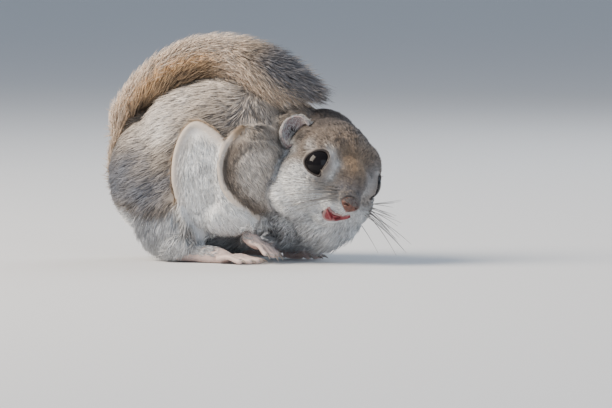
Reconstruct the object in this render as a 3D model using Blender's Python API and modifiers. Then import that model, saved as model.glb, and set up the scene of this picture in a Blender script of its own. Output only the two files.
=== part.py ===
"""A life-size crouching Siberian flying squirrel, as a museum would show it.

The animal faces +X, its right side is at -Y and the floor is z = 0. The driving sizes below are in
millimetres, and the last step moves the whole model so that the origin is under its middle.
"""

import math
import random

import bmesh
import bpy
from mathutils import Matrix, Vector
from mathutils.bvhtree import BVHTree

MM = 0.001

# Driving sizes of the animal, in millimetres
BELLY = Vector((-4.0, 0.0, 32.6))
BELLY_RADII = Vector((27.0, 24.0, 31.6))
BACK = Vector((4.0, 0.0, 35.1))
BACK_RADII = Vector((28.0, 23.5, 31.0))
RUMP = Vector((-15.0, 0.0, 29.1))
RUMP_RADII = Vector((24.5, 23.0, 25.0))
HIP_PLANE_X = -13.0
FORELEG_FROM = (9.0, 12.5, 44.0)
THIGH = Vector((-9.5, 16.5, 14.0))
THIGH_RADII = Vector((14.5, 10.0, 13.2))
SHOULDER = Vector((19.0, 15.0, 32.0))
SHOULDER_RADII = Vector((12.5, 10.0, 18.5))
ELBOW = Vector((19.0, 17.5, 23.0))
ELBOW_RADII = Vector((8.5, 7.0, 9.0))
NECK = Vector((32.0, 2.5, 37.4))
NECK_RADII = Vector((14.5, 14.5, 18.6))
THROAT = Vector((43.5, -2.5, 18.6))
THROAT_RADII = Vector((14.0, 15.0, 13.0))
CHEST = Vector((33.0, 0.0, 20.6))
CHEST_RADII = Vector((14.0, 15.0, 15.0))

# Where the head sits on the neck, and how it is turned, tipped and rolled, in degrees
HEAD_CENTRE = Vector((45.9, -4.4, 32.1))
HEAD_YAW = -44.3
HEAD_PITCH = 18.1
HEAD_ROLL = -22.9
CRANIUM_RADII = Vector((17.0, 15.8, 14.8))
NAPE = Vector((-12.5, 0.0, 6.0))
NAPE_RADII = Vector((13.5, 13.5, 12.3))
BROW = Vector((3.0, 7.0, 5.0))
BROW_RADII = Vector((10.0, 9.0, 10.0))
CHEEK_RADII = Vector((13.0, 10.5, 10.5))
JOWL_RADII = Vector((11.0, 10.5, 8.0))
MUZZLE_RADII = Vector((10.5, 7.8, 6.6))
NOSE_TIP = Vector((23.2, 0.0, -3.4))
NOSE_RADII = Vector((2.0, 2.9, 2.3))
MOUTH = Vector((16.8, -0.4, -10.6))
GAPE_RADII = Vector((5.0, 4.9, 2.5))
EYE_CENTRE = Vector((9.2, 9.9, 2.3))
EYE_RADIUS = 5.6
EYE_AIM = Vector((0.50, 0.85, 0.16))
LID_THICKNESS = 0.7
EAR_ROOT = Vector((-7.0, 14.6, -0.2))
EAR_TIP = Vector((-9.5, 14.8, 12.4))
EAR_HALF_WIDTH = 6.0
EAR_DEPTH = 3.4
EAR_WALL = 1.0

# The opening between the lids: towards the nose and up, around the eye's own axis
EYE_OPENING = (
    (-4.8, -1.6),
    (-3.4, 1.9),
    (-1.5, 4.5),
    (0.7, 5.3),
    (2.9, 4.3),
    (4.1, 2.0),
    (4.2, -1.2),
    (4.4, -3.3),
    (2.4, -4.2),
    (-0.9, -4.4),
    (-3.7, -3.4),
)

# The tail's middle line from root to tip, its half width and its roll towards the right side
TAIL_LINE = (
    (-33.0, 0.0, 22.6),
    (-37.2, 0.0, 29.6),
    (-36.2, 0.0, 39.6),
    (-32.4, 0.0, 49.6),
    (-25.7, 0.0, 59.0),
    (-16.7, 0.0, 66.6),
    (-5.5, 0.0, 71.4),
    (6.0, 0.0, 71.8),
    (17.0, -0.5, 68.6),
    (27.0, -1.0, 64.6),
    (35.5, -1.5, 61.2),
    (40.5, -2.0, 58.6),
)
TAIL_HALF_WIDTHS = (4.0, 6.0, 8.0, 10.0, 11.5, 12.5, 13.0, 13.0, 13.0, 12.5, 10.0, 5.0)
TAIL_HALF_THICKNESS = 5.0
TAIL_ROLL_END = 42.0
TAIL_ROLL_STATIONS = (5.2, 8.6)
TAIL_SPLITS = (3.6, 6.2, 8.8)

# The long hair of the tail: rows of locks around it, each in degrees from its left edge
TAIL_CORE = 0.5
LOCK_ROWS = (0, 55, 125, 180, 235, 305)
LOCK_SPACING = 0.95
LOCK_START = 0.7
LOCK_SWEEP = 1.0
LOCK_HALF_WIDTH = 3.8
LOCK_HALF_THICKNESS = 1.3
LOCK_SEED = 11

# Feet: lengths of sole and toes, and where each heel or wrist stands
HIND_HEEL = Vector((-5.5, 21.0, 0.0))
HIND_SOLE = 20.0
HIND_TOES = (9.0, 11.5, 12.5, 12.0, 9.5)
HIND_TURN = 6.0
HAND_SPAN = 7.0
HAND_FINGERS = (6.5, 8.0, 8.0, 6.5)
TOE_RADIUS = 1.15
CLAW_LENGTH = 2.6

# Each hand: where it stands, how it is turned and tipped, and the wrist above it
HAND_R = Vector((20.5, -18.6, 6.4))
HAND_R_TURN = -4.0
HAND_R_TIP = 24.0
WRIST_R = Vector((19.5, -18.0, 17.5))
HAND_L = Vector((26.0, 8.0, 0.0))
HAND_L_TURN = -6.0
HAND_L_TIP = 0.0
WRIST_L = Vector((22.0, 13.0, 15.0))

# The folded gliding membrane: the edges of its two parts, as x and z of the side view
FRONT_EDGE = (
    (19.7, 48.0),
    (15.1, 43.6),
    (12.0, 38.3),
    (11.2, 32.5),
    (12.8, 25.8),
    (17.8, 21.6),
    (24.0, 18.8),
)
REAR_EDGE = (
    (12.8, 43.3),
    (7.4, 46.8),
    (2.4, 48.8),
    (-2.2, 43.3),
    (-4.1, 34.4),
    (-3.9, 27.0),
    (-1.2, 17.6),
    (4.3, 10.5),
)
REAR_FILL = (
    (10.0, 9.5),
    (18.0, 10.5),
    (25.0, 14.0),
    (21.0, 22.0),
    (15.5, 27.5),
    (14.0, 33.0),
    (14.5, 38.0),
    (15.5, 42.0),
)
FRONT_FILL = ((30.0, 20.0), (30.0, 40.0), (25.0, 49.0))
MEMBRANE_THICKNESS = 1.5
PAD_THICKNESS = 3.4
PAD_RIM = 1.5
PAD_SAG = Vector((13.5, 19.0, 16.5))
PAD_SAG_RADII = Vector((11.5, 6.0, 6.5))

GAP = 0.3
BODY_VOXEL = 1.1
HEAD_VOXEL = 0.6

COLOURS = {
    "back": (0.42, 0.37, 0.32),
    "belly": (0.78, 0.77, 0.74),
    "tail": (0.50, 0.42, 0.33),
    "foot": (0.52, 0.44, 0.41),
    "ear": (0.50, 0.43, 0.41),
    "eye": (0.012, 0.010, 0.012),
    "nose": (0.52, 0.27, 0.20),
    "mouth": (0.50, 0.10, 0.09),
}
ROUGHNESS = {"eye": 0.08, "nose": 0.45, "mouth": 0.35}


def clear_scene():
    for obj in list(bpy.data.objects):
        bpy.data.objects.remove(obj, do_unlink=True)


def make_collection(name, hidden=False):
    collection = bpy.data.collections.new(name)
    bpy.context.scene.collection.children.link(collection)
    collection.hide_render = hidden
    return collection


clear_scene()
ANIMAL = make_collection("flying_squirrel")
HELPERS = make_collection("cutters", hidden=True)


def material(finish):
    """The Principled material of one finish, made once."""
    found = bpy.data.materials.get(finish)
    if found:
        return found
    made = bpy.data.materials.new(finish)
    made.use_nodes = True
    shader = made.node_tree.nodes["Principled BSDF"]
    shader.inputs["Base Color"].default_value = (*COLOURS[finish], 1.0)
    shader.inputs["Roughness"].default_value = ROUGHNESS.get(finish, 0.85)
    shader.inputs["Metallic"].default_value = 0.0
    return made


def new_object(name, mesh, collection=HELPERS):
    obj = bpy.data.objects.new(name, mesh)
    collection.objects.link(obj)
    if collection is HELPERS:
        obj.hide_render = True
        obj.display_type = "WIRE"
    return obj


def remove(*objects):
    for obj in objects:
        bpy.data.objects.remove(obj, do_unlink=True)


def apply_modifiers(obj):
    """Replaces the object's mesh by what its modifiers make of it."""
    bpy.context.view_layer.update()
    graph = bpy.context.evaluated_depsgraph_get()
    mesh = bpy.data.meshes.new_from_object(obj.evaluated_get(graph))
    obj.modifiers.clear()
    obj.data = mesh
    return obj


def ball(centre, radii, turn=Matrix.Identity(4), subdivisions=3):
    """An ellipsoid: centre and half sizes in millimetres, in the frame that turn gives."""
    mesh = bpy.data.meshes.new("ball")
    bm = bmesh.new()
    bmesh.ops.create_icosphere(bm, subdivisions=subdivisions, radius=1.0)
    place = turn @ Matrix.Translation(Vector(centre)) @ Matrix.Diagonal((*radii, 1.0))
    bmesh.ops.transform(bm, matrix=Matrix.Scale(MM, 4) @ place, verts=bm.verts)
    bm.to_mesh(mesh)
    bm.free()
    return new_object("ball", mesh)


def tube(points, radii, sides_step=1):
    """A tapered tube through the points, in millimetres, as a closed mesh."""
    curve = bpy.data.curves.new("tube", "CURVE")
    curve.dimensions = "3D"
    curve.bevel_depth = MM
    curve.bevel_resolution = sides_step
    curve.use_fill_caps = True
    spline = curve.splines.new("POLY")
    spline.points.add(len(points) - 1)
    for spot, place, radius in zip(spline.points, points, radii):
        spot.co = (*(Vector(place) * MM), 1.0)
        spot.radius = radius
    path = new_object("tube", curve)
    bpy.context.view_layer.update()
    graph = bpy.context.evaluated_depsgraph_get()
    mesh = bpy.data.meshes.new_from_object(path.evaluated_get(graph))
    remove(path)
    bm = bmesh.new()
    bm.from_mesh(mesh)
    bmesh.ops.remove_doubles(bm, verts=bm.verts, dist=1e-7)
    bmesh.ops.recalc_face_normals(bm, faces=bm.faces)
    bm.to_mesh(mesh)
    bm.free()
    return new_object("tube", mesh)


def box(low, high):
    bm = bmesh.new()
    bmesh.ops.create_cube(bm, size=1.0)
    low, high = Vector(low) * MM, Vector(high) * MM
    place = Matrix.Translation((low + high) / 2) @ Matrix.Diagonal((*(high - low), 1.0))
    bmesh.ops.transform(bm, matrix=place, verts=bm.verts)
    mesh = bpy.data.meshes.new("box")
    bm.to_mesh(mesh)
    bm.free()
    return new_object("box", mesh)


def join(name, objects):
    """Several meshes as one object, still separate shells."""
    bm = bmesh.new()
    for obj in objects:
        bm.from_mesh(obj.data)
    mesh = bpy.data.meshes.new(name)
    bm.to_mesh(mesh)
    bm.free()
    remove(*objects)
    return new_object(name, mesh)


def triangle_count(obj):
    return sum(len(face.vertices) - 2 for face in obj.data.polygons)


def soft_form(name, objects, voxel, triangles, rounds=8):
    """Fuses rounded pieces into one smooth closed form of about that many triangles."""
    form = join(name, objects)
    remesh = form.modifiers.new("fuse", "REMESH")
    remesh.mode = "VOXEL"
    remesh.voxel_size = voxel * MM
    smooth = form.modifiers.new("smooth", "SMOOTH")
    smooth.factor = 0.5
    smooth.iterations = rounds
    apply_modifiers(form)
    thin = form.modifiers.new("thin", "DECIMATE")
    thin.ratio = min(1.0, triangles / triangle_count(form))
    apply_modifiers(form)
    return form


def grown_copy(obj, gap=GAP):
    """A copy of the form that stands out from it by the gap, to cut its neighbours with."""
    copy = new_object(obj.name + "_grown", obj.data.copy())
    push = copy.modifiers.new("grow", "DISPLACE")
    push.mid_level = 0.0
    push.strength = gap * MM
    return apply_modifiers(copy)


def keep_largest(obj):
    """Keeps only the largest closed surface of the object."""
    bm = bmesh.new()
    bm.from_mesh(obj.data)
    unseen = set(bm.verts)
    shells = []
    while unseen:
        reached = [unseen.pop()]
        shell = set(reached)
        while reached:
            for edge in reached.pop().link_edges:
                for vert in edge.verts:
                    if vert in unseen:
                        unseen.remove(vert)
                        shell.add(vert)
                        reached.append(vert)
        shells.append(shell)
    shells.sort(key=len)
    for shell in shells[:-1]:
        bmesh.ops.delete(bm, geom=list(shell), context="VERTS")
    bm.to_mesh(obj.data)
    bm.free()
    return obj


def boolean(obj, operation, others):
    """Cuts or joins the others into the object and removes them.

    The forms here are all closed, and the exact solver loses some of the soft ones.
    """
    group = bpy.data.collections.new("operands")
    bpy.context.scene.collection.children.link(group)
    group.hide_render = True
    for other in others:
        group.objects.link(other)
    step = obj.modifiers.new("boolean", "BOOLEAN")
    step.operation = operation
    step.operand_type = "COLLECTION"
    step.collection = group
    step.solver = "MANIFOLD"
    apply_modifiers(obj)
    bpy.data.collections.remove(group)
    remove(*others)
    return keep_largest(obj)


def trim(obj, neighbours):
    """Cuts the object back from its neighbours, so that it meets them face to face."""
    for neighbour in neighbours:
        boolean(obj, "DIFFERENCE", [grown_copy(neighbour)])
    return obj


def half(obj, point, normal):
    """The part of a copy of the form that lies on the normal's side of a plane, closed by a flat face."""
    copy = new_object(obj.name + "_half", obj.data.copy())
    bm = bmesh.new()
    bm.from_mesh(copy.data)
    cut = bmesh.ops.bisect_plane(
        bm,
        geom=list(bm.verts) + list(bm.edges) + list(bm.faces),
        plane_co=Vector(point) * MM,
        plane_no=Vector(normal),
        clear_inner=True,
        dist=1e-8,
    )
    rim = [piece for piece in cut["geom_cut"] if isinstance(piece, bmesh.types.BMEdge)]
    bmesh.ops.edgenet_fill(bm, edges=rim)
    bmesh.ops.triangulate(bm, faces=[face for face in bm.faces if len(face.verts) > 4])
    bmesh.ops.recalc_face_normals(bm, faces=bm.faces)
    bm.to_mesh(copy.data)
    bm.free()
    return copy


def finish(obj, name, finish_name, smooth_angle=50.0):
    """Makes the object a named node of the animal, with its material and smooth shading."""
    for collection in list(obj.users_collection):
        collection.objects.unlink(obj)
    ANIMAL.objects.link(obj)
    obj.hide_render = False
    obj.display_type = "TEXTURED"
    obj.name = name
    obj.data.name = name
    obj.data.materials.clear()
    obj.data.materials.append(material(finish_name))
    obj.data.shade_smooth()
    obj.data.set_sharp_from_angle(angle=math.radians(smooth_angle))
    return obj


def sided(place, side):
    """A place given for the left side, on the side asked for: 1 is left, -1 is right."""
    return Vector((place[0], place[1] * side, place[2]))


def surface_tree(obj):
    bm = bmesh.new()
    bm.from_mesh(obj.data)
    tree = BVHTree.FromBMesh(bm)
    bm.free()
    return tree


# The trunk of the body: back, belly, rump and shoulders as one soft form

def body_form():
    pieces = [ball(BELLY, BELLY_RADII), ball(BACK, BACK_RADII), ball(RUMP, RUMP_RADII)]
    for side in (1, -1):
        pieces.append(ball(sided(SHOULDER, side), SHOULDER_RADII))
        pieces.append(ball(sided(ELBOW, side), ELBOW_RADII))
    return soft_form("body", pieces, BODY_VOXEL, 1120)


HEAD_FRAME = (
    Matrix.Translation(HEAD_CENTRE)
    @ Matrix.Rotation(math.radians(HEAD_YAW), 4, "Z")
    @ Matrix.Rotation(math.radians(HEAD_PITCH), 4, "Y")
    @ Matrix.Rotation(math.radians(HEAD_ROLL), 4, "X")
)


def neck_form():
    pieces = [ball(NECK, NECK_RADII), ball(THROAT, THROAT_RADII), ball(CHEST, CHEST_RADII)]
    return soft_form("neck", pieces, BODY_VOXEL, 320)


def head_ball(centre, radii, subdivisions=3):
    return ball(centre, radii, HEAD_FRAME, subdivisions)


def head_form():
    pieces = [
        head_ball((-3.0, 0.0, 3.0), CRANIUM_RADII),
        head_ball((8.0, 0.0, 1.5), (12.5, 9.5, 9.5)),
        head_ball((13.8, 0.0, -4.6), MUZZLE_RADII),
        head_ball((8.0, 0.0, -12.0), (9.5, 7.0, 5.6)),
        head_ball((-9.0, 0.0, -6.0), (14.0, 14.5, 14.0)),
        head_ball(NAPE, NAPE_RADII),
    ]
    for side in (1, -1):
        pieces.append(head_ball(sided(BROW, side), BROW_RADII))
        pieces.append(head_ball((3.0, 8.5 * side, -6.5), CHEEK_RADII))
        pieces.append(head_ball((0.5, 9.5 * side, -12.5), JOWL_RADII))
        pieces.append(head_ball((7.0, 7.6 * side, 2.4), (8.5, 5.4, 7.4)))
        pieces.append(head_ball((15.0, 3.2 * side, -7.0), (6.5, 4.6, 4.0)))
    return soft_form("head", pieces, HEAD_VOXEL, 960, rounds=10)


def eye_axis(side):
    return sided(EYE_AIM, side).normalized()


def eye_opening(centre, side):
    """A cone from the eye's centre out through the opening between the lids."""
    aim = eye_axis(side)
    nasal = (Vector((1.0, 0.0, 0.0)) - aim * aim.x).normalized()
    upward = (Vector((0.0, 0.0, 1.0)) - aim * aim.z - nasal * nasal.z).normalized()
    lid_radius = EYE_RADIUS + GAP + LID_THICKNESS / 2
    bm = bmesh.new()
    apex = bm.verts.new(HEAD_FRAME @ centre * MM)
    rim = []
    for across, up in EYE_OPENING:
        depth = math.sqrt(lid_radius**2 - across**2 - up**2)
        ray = aim * depth + nasal * across + upward * up
        rim.append(bm.verts.new(HEAD_FRAME @ (centre + ray * 2.2) * MM))
    for near, far in zip(rim, rim[1:] + rim[:1]):
        bm.faces.new((apex, near, far))
    lid = bm.faces.new(rim)
    bmesh.ops.triangulate(bm, faces=[lid])
    bmesh.ops.recalc_face_normals(bm, faces=bm.faces)
    mesh = bpy.data.meshes.new("opening")
    bm.to_mesh(mesh)
    bm.free()
    return new_object("opening", mesh)


def carve_eye(head, side):
    """Sinks a socket for the eyeball and leaves lids over it with an opening."""
    centre = sided(EYE_CENTRE, side)
    lids = head_ball(centre, (EYE_RADIUS + GAP + LID_THICKNESS,) * 3)
    boolean(head, "UNION", [lids])
    boolean(head, "DIFFERENCE", [eye_opening(centre, side)])
    socket = head_ball(centre, (EYE_RADIUS + GAP,) * 3)
    boolean(head, "DIFFERENCE", [socket])


def eye(side, name):
    ball_of_eye = ball(sided(EYE_CENTRE, side), (EYE_RADIUS,) * 3, HEAD_FRAME)
    return finish(ball_of_eye, name, "eye")


def carve_mouth(head):
    """Opens the mouth a little and draws the line of the lips back from its corners."""
    gape = head_ball(MOUTH, GAPE_RADII)
    boolean(head, "DIFFERENCE", [gape])
    lip_line = [
        HEAD_FRAME @ (MOUTH + Vector((-0.05 * y * y + 3.4, y, 0.03 * y * y + 0.5)))
        for y in (-6.6, -5.0, -3.4, -1.8, 0.0, 1.8, 3.4, 5.0, 6.6)
    ]
    boolean(head, "DIFFERENCE", [tube(lip_line, [0.55] * len(lip_line))])


def tongue():
    inside = head_ball(MOUTH + Vector((-0.5, 0.0, -0.2)), GAPE_RADII * 0.7, 2)
    return finish(inside, "tongue", "mouth")


def nose():
    """The bare nose pad with its two nostrils and the cleft between them."""
    pad = head_ball(NOSE_TIP, NOSE_RADII, 2)
    nostrils = [
        head_ball(NOSE_TIP + Vector((1.25, 1.25 * side, -0.25)), (0.9, 0.55, 0.45), 2) for side in (1, -1)
    ]
    cleft_top = HEAD_FRAME @ (NOSE_TIP + Vector((2.0, 0.0, 0.1)))
    cleft_bottom = HEAD_FRAME @ (NOSE_TIP + Vector((1.2, 0.0, -2.2)))
    cleft = tube([cleft_top, cleft_bottom], [0.28, 0.28])
    boolean(pad, "DIFFERENCE", [*nostrils, cleft])
    return pad


def ear(side, name, head):
    """A rounded cup of thin skin, laid back along the side of the skull."""
    root = sided(EAR_ROOT, side)
    tip = sided(EAR_TIP, side)
    length = (tip - root).length
    up = (tip - root).normalized()
    out = Vector((0.6, 0.8 * side, 0.0))
    out = (out - up * out.dot(up)).normalized()
    across = out.cross(up)
    frame = Matrix((across, out, up)).transposed().to_4x4()
    place = HEAD_FRAME @ Matrix.Translation((root + tip) / 2) @ frame
    shell = ball((0.0, 0.0, 0.0), (EAR_HALF_WIDTH, EAR_DEPTH, length / 2), place)
    hollow_radii = (EAR_HALF_WIDTH - EAR_WALL, EAR_DEPTH + 0.6, length / 2 - EAR_WALL)
    hollow = ball((0.0, EAR_WALL + 0.8, 0.6), hollow_radii, place, 2)
    boolean(shell, "DIFFERENCE", [hollow])
    trim(shell, [head])
    return finish(shell, name, "ear")


# The legs

def thigh_form(side):
    haunch = ball(sided(THIGH, side), THIGH_RADII)
    heel = ball(sided(THIGH + Vector((5.0, 3.0, -7.5)), side), (10.0, 7.5, 6.0))
    return soft_form("thigh", [haunch, heel], BODY_VOXEL, 260)


def toe(root, heading, length, radius):
    """A toe that arches up from the foot and comes down flat, with its hooked claw."""
    forward = Vector((math.cos(heading), math.sin(heading), 0.0))
    knuckle = root + forward * length * 0.45 + Vector((0, 0, radius * 0.75))
    pad = root + forward * length
    pad.z = radius * 0.8
    pieces = [
        tube(
            [root - forward * 2.0, root, knuckle, pad - forward * 1.0, pad + forward * 0.9],
            [radius * 1.1, radius * 1.15, radius, radius * 1.05, radius * 0.5],
        )
    ]
    claw_root = pad + Vector((0, 0, radius * 0.35)) - forward * 0.6
    claw_top = claw_root + forward * CLAW_LENGTH * 0.55 + Vector((0, 0, 0.45))
    claw_tip = claw_root + forward * CLAW_LENGTH
    claw_tip.z = 0.35
    pieces.append(tube([claw_root, claw_top, claw_tip], [0.62, 0.5, 0.12], 0))
    return pieces


def stand_flat(obj):
    """Cuts the sole off level with the floor."""
    return boolean(obj, "DIFFERENCE", [box((-60.0, -60.0, -30.0), (60.0, 60.0, 0.0))])


def hind_foot(side):
    heel = sided(HIND_HEEL, side)
    turn = math.radians(HIND_TURN) * side
    forward = Vector((math.cos(turn), math.sin(turn), 0.0))
    across = Vector((-forward.y, forward.x, 0.0))
    ball_of_foot = heel + forward * HIND_SOLE
    sole = tube(
        [
            heel + Vector((0, 0, 2.6)) - forward * 1.5,
            heel + Vector((0, 0, 3.0)),
            heel + forward * HIND_SOLE * 0.5 + Vector((0, 0, 3.2)),
            ball_of_foot + Vector((0, 0, 2.2)),
            ball_of_foot + forward * 2.0 + Vector((0, 0, 1.6)),
        ],
        [2.2, 3.6, 3.7, 3.6, 1.6],
        2,
    )
    shin = tube(
        [heel + Vector((1.0, 0, 2.8)), heel + Vector((3.0, 0, 9.0))],
        [3.2, 3.6],
        2,
    )
    pieces = [shin]
    count = len(HIND_TOES)
    for index, length in enumerate(HIND_TOES):
        spread = index - (count - 1) / 2
        root = ball_of_foot + across * spread * 1.75 + Vector((0, 0, 1.5))
        heading = turn + math.radians(7.5) * spread
        pieces += toe(root, heading, length, TOE_RADIUS)
    boolean(sole, "UNION", pieces)
    return stand_flat(sole)


def hand(place, wrist, turn_degrees, tip_degrees):
    """A hand with four fingers and claws, under the forearm that comes down to it."""
    palm = tube(
        [(-2.4, 0, 2.4), (0, 0, 2.2), (HAND_SPAN * 0.5, 0, 1.7), (HAND_SPAN * 0.5 + 1.4, 0, 1.3)],
        [2.2, 3.1, 3.0, 1.4],
        2,
    )
    pieces = []
    count = len(HAND_FINGERS)
    for index, length in enumerate(HAND_FINGERS):
        spread = index - (count - 1) / 2
        root = Vector((HAND_SPAN * 0.5, spread * 1.75, 1.35))
        pieces += toe(root, math.radians(11.0) * spread, length, TOE_RADIUS * 0.9)
    boolean(palm, "UNION", pieces)
    stand_flat(palm)
    stance = (
        Matrix.Translation(place * MM)
        @ Matrix.Rotation(math.radians(turn_degrees), 4, "Z")
        @ Matrix.Rotation(math.radians(tip_degrees), 4, "Y")
    )
    palm.data.transform(stance)
    ankle = stance @ Vector((-0.8 * MM, 0, 2.4 * MM)) / MM
    forearm = tube([ankle, (ankle + wrist) / 2, wrist], [2.3, 3.2, 4.2], 2)
    return boolean(palm, "UNION", [forearm])


# The folded gliding membrane on each flank

def on_flank(tree, x, z, side, lift):
    """The point of the body's surface at that x and z of the side view, raised by lift."""
    start = Vector((x, 60.0 * side, z)) * MM
    hit, normal, _, _ = tree.ray_cast(start, Vector((0.0, -side, 0.0)))
    return (hit + normal * lift * MM) / MM


def outline_prism(points, side):
    """A prism with this outline in the side view, that reaches over one side of the body."""
    curve = bpy.data.curves.new("outline", "CURVE")
    curve.dimensions = "2D"
    curve.fill_mode = "BOTH"
    curve.extrude = 20.0 * MM
    spline = curve.splines.new("POLY")
    spline.points.add(len(points) - 1)
    spline.use_cyclic_u = True
    for spot, (x, z) in zip(spline.points, points):
        spot.co = (x * MM, z * MM, 0.0, 1.0)
    flat = new_object("outline", curve)
    bpy.context.view_layer.update()
    graph = bpy.context.evaluated_depsgraph_get()
    mesh = bpy.data.meshes.new_from_object(flat.evaluated_get(graph))
    remove(flat)
    stand = Matrix.Translation((0.0, 30.0 * MM * side, 0.0)) @ Matrix.Rotation(math.radians(90), 4, "X")
    bm = bmesh.new()
    bm.from_mesh(mesh)
    bmesh.ops.remove_doubles(bm, verts=bm.verts, dist=1e-7)
    bmesh.ops.transform(bm, matrix=stand, verts=bm.verts)
    bmesh.ops.recalc_face_normals(bm, faces=bm.faces)
    bm.to_mesh(mesh)
    bm.free()
    return new_object("prism", mesh)


def flap(edge, fill, extra, base, side, thickness, rim, triangles):
    """A cushion of membrane over the body with a rolled rim along its free edge."""
    tree = surface_tree(base)
    skin = grown_copy(base, thickness)
    boolean(skin, "INTERSECT", [outline_prism(edge + list(fill), side)])
    rim_line = [on_flank(tree, x, z, side, thickness - rim * 0.6) for x, z in edge]
    pieces = [skin, tube(rim_line, [rim] * len(edge)), *extra]
    return soft_form("membrane", pieces, HEAD_VOXEL, triangles, rounds=3)


def smooth_line(points, steps):
    """Points along a smooth curve through the given ones."""
    line = []
    count = len(points)
    for index in range(count - 1):
        before = Vector(points[max(index - 1, 0)])
        start = Vector(points[index])
        end = Vector(points[index + 1])
        after = Vector(points[min(index + 2, count - 1)])
        for step in range(steps):
            t = step / steps
            line.append(
                0.5
                * (
                    2 * start
                    + (end - before) * t
                    + (2 * before - 5 * start + 4 * end - after) * t * t
                    + (3 * start - before - 3 * end + after) * t * t * t
                )
            )
    line.append(Vector(points[-1]))
    return line


# The tail

def tail_spot(station):
    """Middle, direction, flat direction, normal and half width of the tail at a station along it."""
    last = len(TAIL_LINE) - 1
    station = min(max(station, 0.0), last)
    index = min(int(station), last - 1)
    t = station - index
    before = Vector(TAIL_LINE[max(index - 1, 0)])
    start = Vector(TAIL_LINE[index])
    end = Vector(TAIL_LINE[index + 1])
    after = Vector(TAIL_LINE[min(index + 2, last)])
    pull_in = (end - before) / 2
    pull_out = (after - start) / 2
    middle = (
        start * (2 * t**3 - 3 * t**2 + 1)
        + pull_in * (t**3 - 2 * t**2 + t)
        + end * (-2 * t**3 + 3 * t**2)
        + pull_out * (t**3 - t**2)
    )
    heading = (
        start * (6 * t**2 - 6 * t)
        + pull_in * (3 * t**2 - 4 * t + 1)
        + end * (-6 * t**2 + 6 * t)
        + pull_out * (3 * t**2 - 2 * t)
    ).normalized()
    roll_start, roll_end = TAIL_ROLL_STATIONS
    turned = min(max((station - roll_start) / (roll_end - roll_start), 0.0), 1.0)
    roll = math.radians(TAIL_ROLL_END) * turned * turned * (3 - 2 * turned)
    flat = Vector((0.0, 1.0, 0.0))
    flat = (flat - heading * flat.dot(heading)).normalized()
    flat.rotate(Matrix.Rotation(roll, 3, heading))
    normal = heading.cross(flat).normalized()
    half_width = TAIL_HALF_WIDTHS[index] * (1 - t) + TAIL_HALF_WIDTHS[index + 1] * t
    return middle, heading, flat, normal, half_width


def tail_core(rings, sides):
    """The tail under its long hair: a flattened tube with closed ends."""
    bm = bmesh.new()
    loops = []
    last = len(TAIL_LINE) - 1.4
    for ring in range(rings + 1):
        middle, _, flat, normal, half_width = tail_spot(last * ring / rings)
        loop = []
        for side in range(sides):
            angle = 2 * math.pi * side / sides
            across = flat * math.cos(angle) * half_width
            through = normal * math.sin(angle) * tail_thickness(half_width)
            loop.append(bm.verts.new((middle + (across + through) * TAIL_CORE) * MM))
        loops.append(loop)
    for near, far in zip(loops, loops[1:]):
        for side in range(sides):
            after = (side + 1) % sides
            bm.faces.new((near[side], near[after], far[after], far[side]))
    bm.faces.new(loops[0])
    bm.faces.new(loops[-1])
    bmesh.ops.recalc_face_normals(bm, faces=bm.faces)
    mesh = bpy.data.meshes.new("tail_core")
    bm.to_mesh(mesh)
    bm.free()
    return new_object("tail_core", mesh)


def tail_thickness(half_width):
    return TAIL_HALF_THICKNESS * min(1.0, 0.55 + half_width / 26.0)


def lock(root, tip, thin, half_width, half_thickness):
    """A flat tapered lock of hair with a diamond section, from its root to its tip."""
    axis = (tip - root).normalized()
    thin = (thin - axis * thin.dot(axis)).normalized()
    wide = axis.cross(thin)
    bm = bmesh.new()
    loops = []
    for share, size in ((0.0, 0.75), (0.5, 1.0)):
        middle = root + (tip - root) * share
        corners = (wide * half_width, thin * half_thickness, -wide * half_width, -thin * half_thickness)
        loops.append([bm.verts.new((middle + corner * size) * MM) for corner in corners])
    end = bm.verts.new(tip * MM)
    for side in range(4):
        after = (side + 1) % 4
        bm.faces.new((loops[0][side], loops[0][after], loops[1][after], loops[1][side]))
        bm.faces.new((loops[1][side], loops[1][after], end))
    bm.faces.new(loops[0])
    bmesh.ops.recalc_face_normals(bm, faces=bm.faces)
    mesh = bpy.data.meshes.new("lock")
    bm.to_mesh(mesh)
    bm.free()
    return new_object("lock", mesh)


def tail_locks():
    """Rows of locks that sweep out from the core and back to the tail's full width."""
    chance = random.Random(LOCK_SEED)
    last = len(TAIL_LINE) - 1.0
    locks = []
    for row, degrees in enumerate(LOCK_ROWS):
        angle = math.radians(degrees)
        station = LOCK_START + LOCK_SPACING * (row % 2) / 2
        while station < last - 0.35:
            middle, heading, flat, normal, half_width = tail_spot(station)
            reach = min(station + LOCK_SWEEP * chance.uniform(0.9, 1.15), last - 0.05)
            far_middle, _, far_flat, far_normal, far_width = tail_spot(reach)
            thick = tail_thickness(half_width)
            inner = TAIL_CORE * 0.72
            root = middle + flat * math.cos(angle) * half_width * inner
            root += normal * math.sin(angle) * thick * inner
            stretch = chance.uniform(0.95, 1.0)
            tip = far_middle + far_flat * math.cos(angle) * max(far_width, half_width * 0.8) * stretch
            tip += far_normal * math.sin(angle) * tail_thickness(far_width) * stretch
            locks.append(lock(root, tip, normal, LOCK_HALF_WIDTH, LOCK_HALF_THICKNESS))
            station += LOCK_SPACING * chance.uniform(0.92, 1.08)
    return locks


def station_block(station, side):
    """A block that takes away all of the tail before or after a station."""
    middle, heading, _, _, _ = tail_spot(station)
    block = box((-90.0, -40.0, 0.0), (90.0, 40.0, 120.0))
    aim = (heading * side).to_track_quat("Z", "Y").to_matrix().to_4x4()
    block.data.transform(Matrix.Translation(middle * MM) @ aim)
    return block


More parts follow.
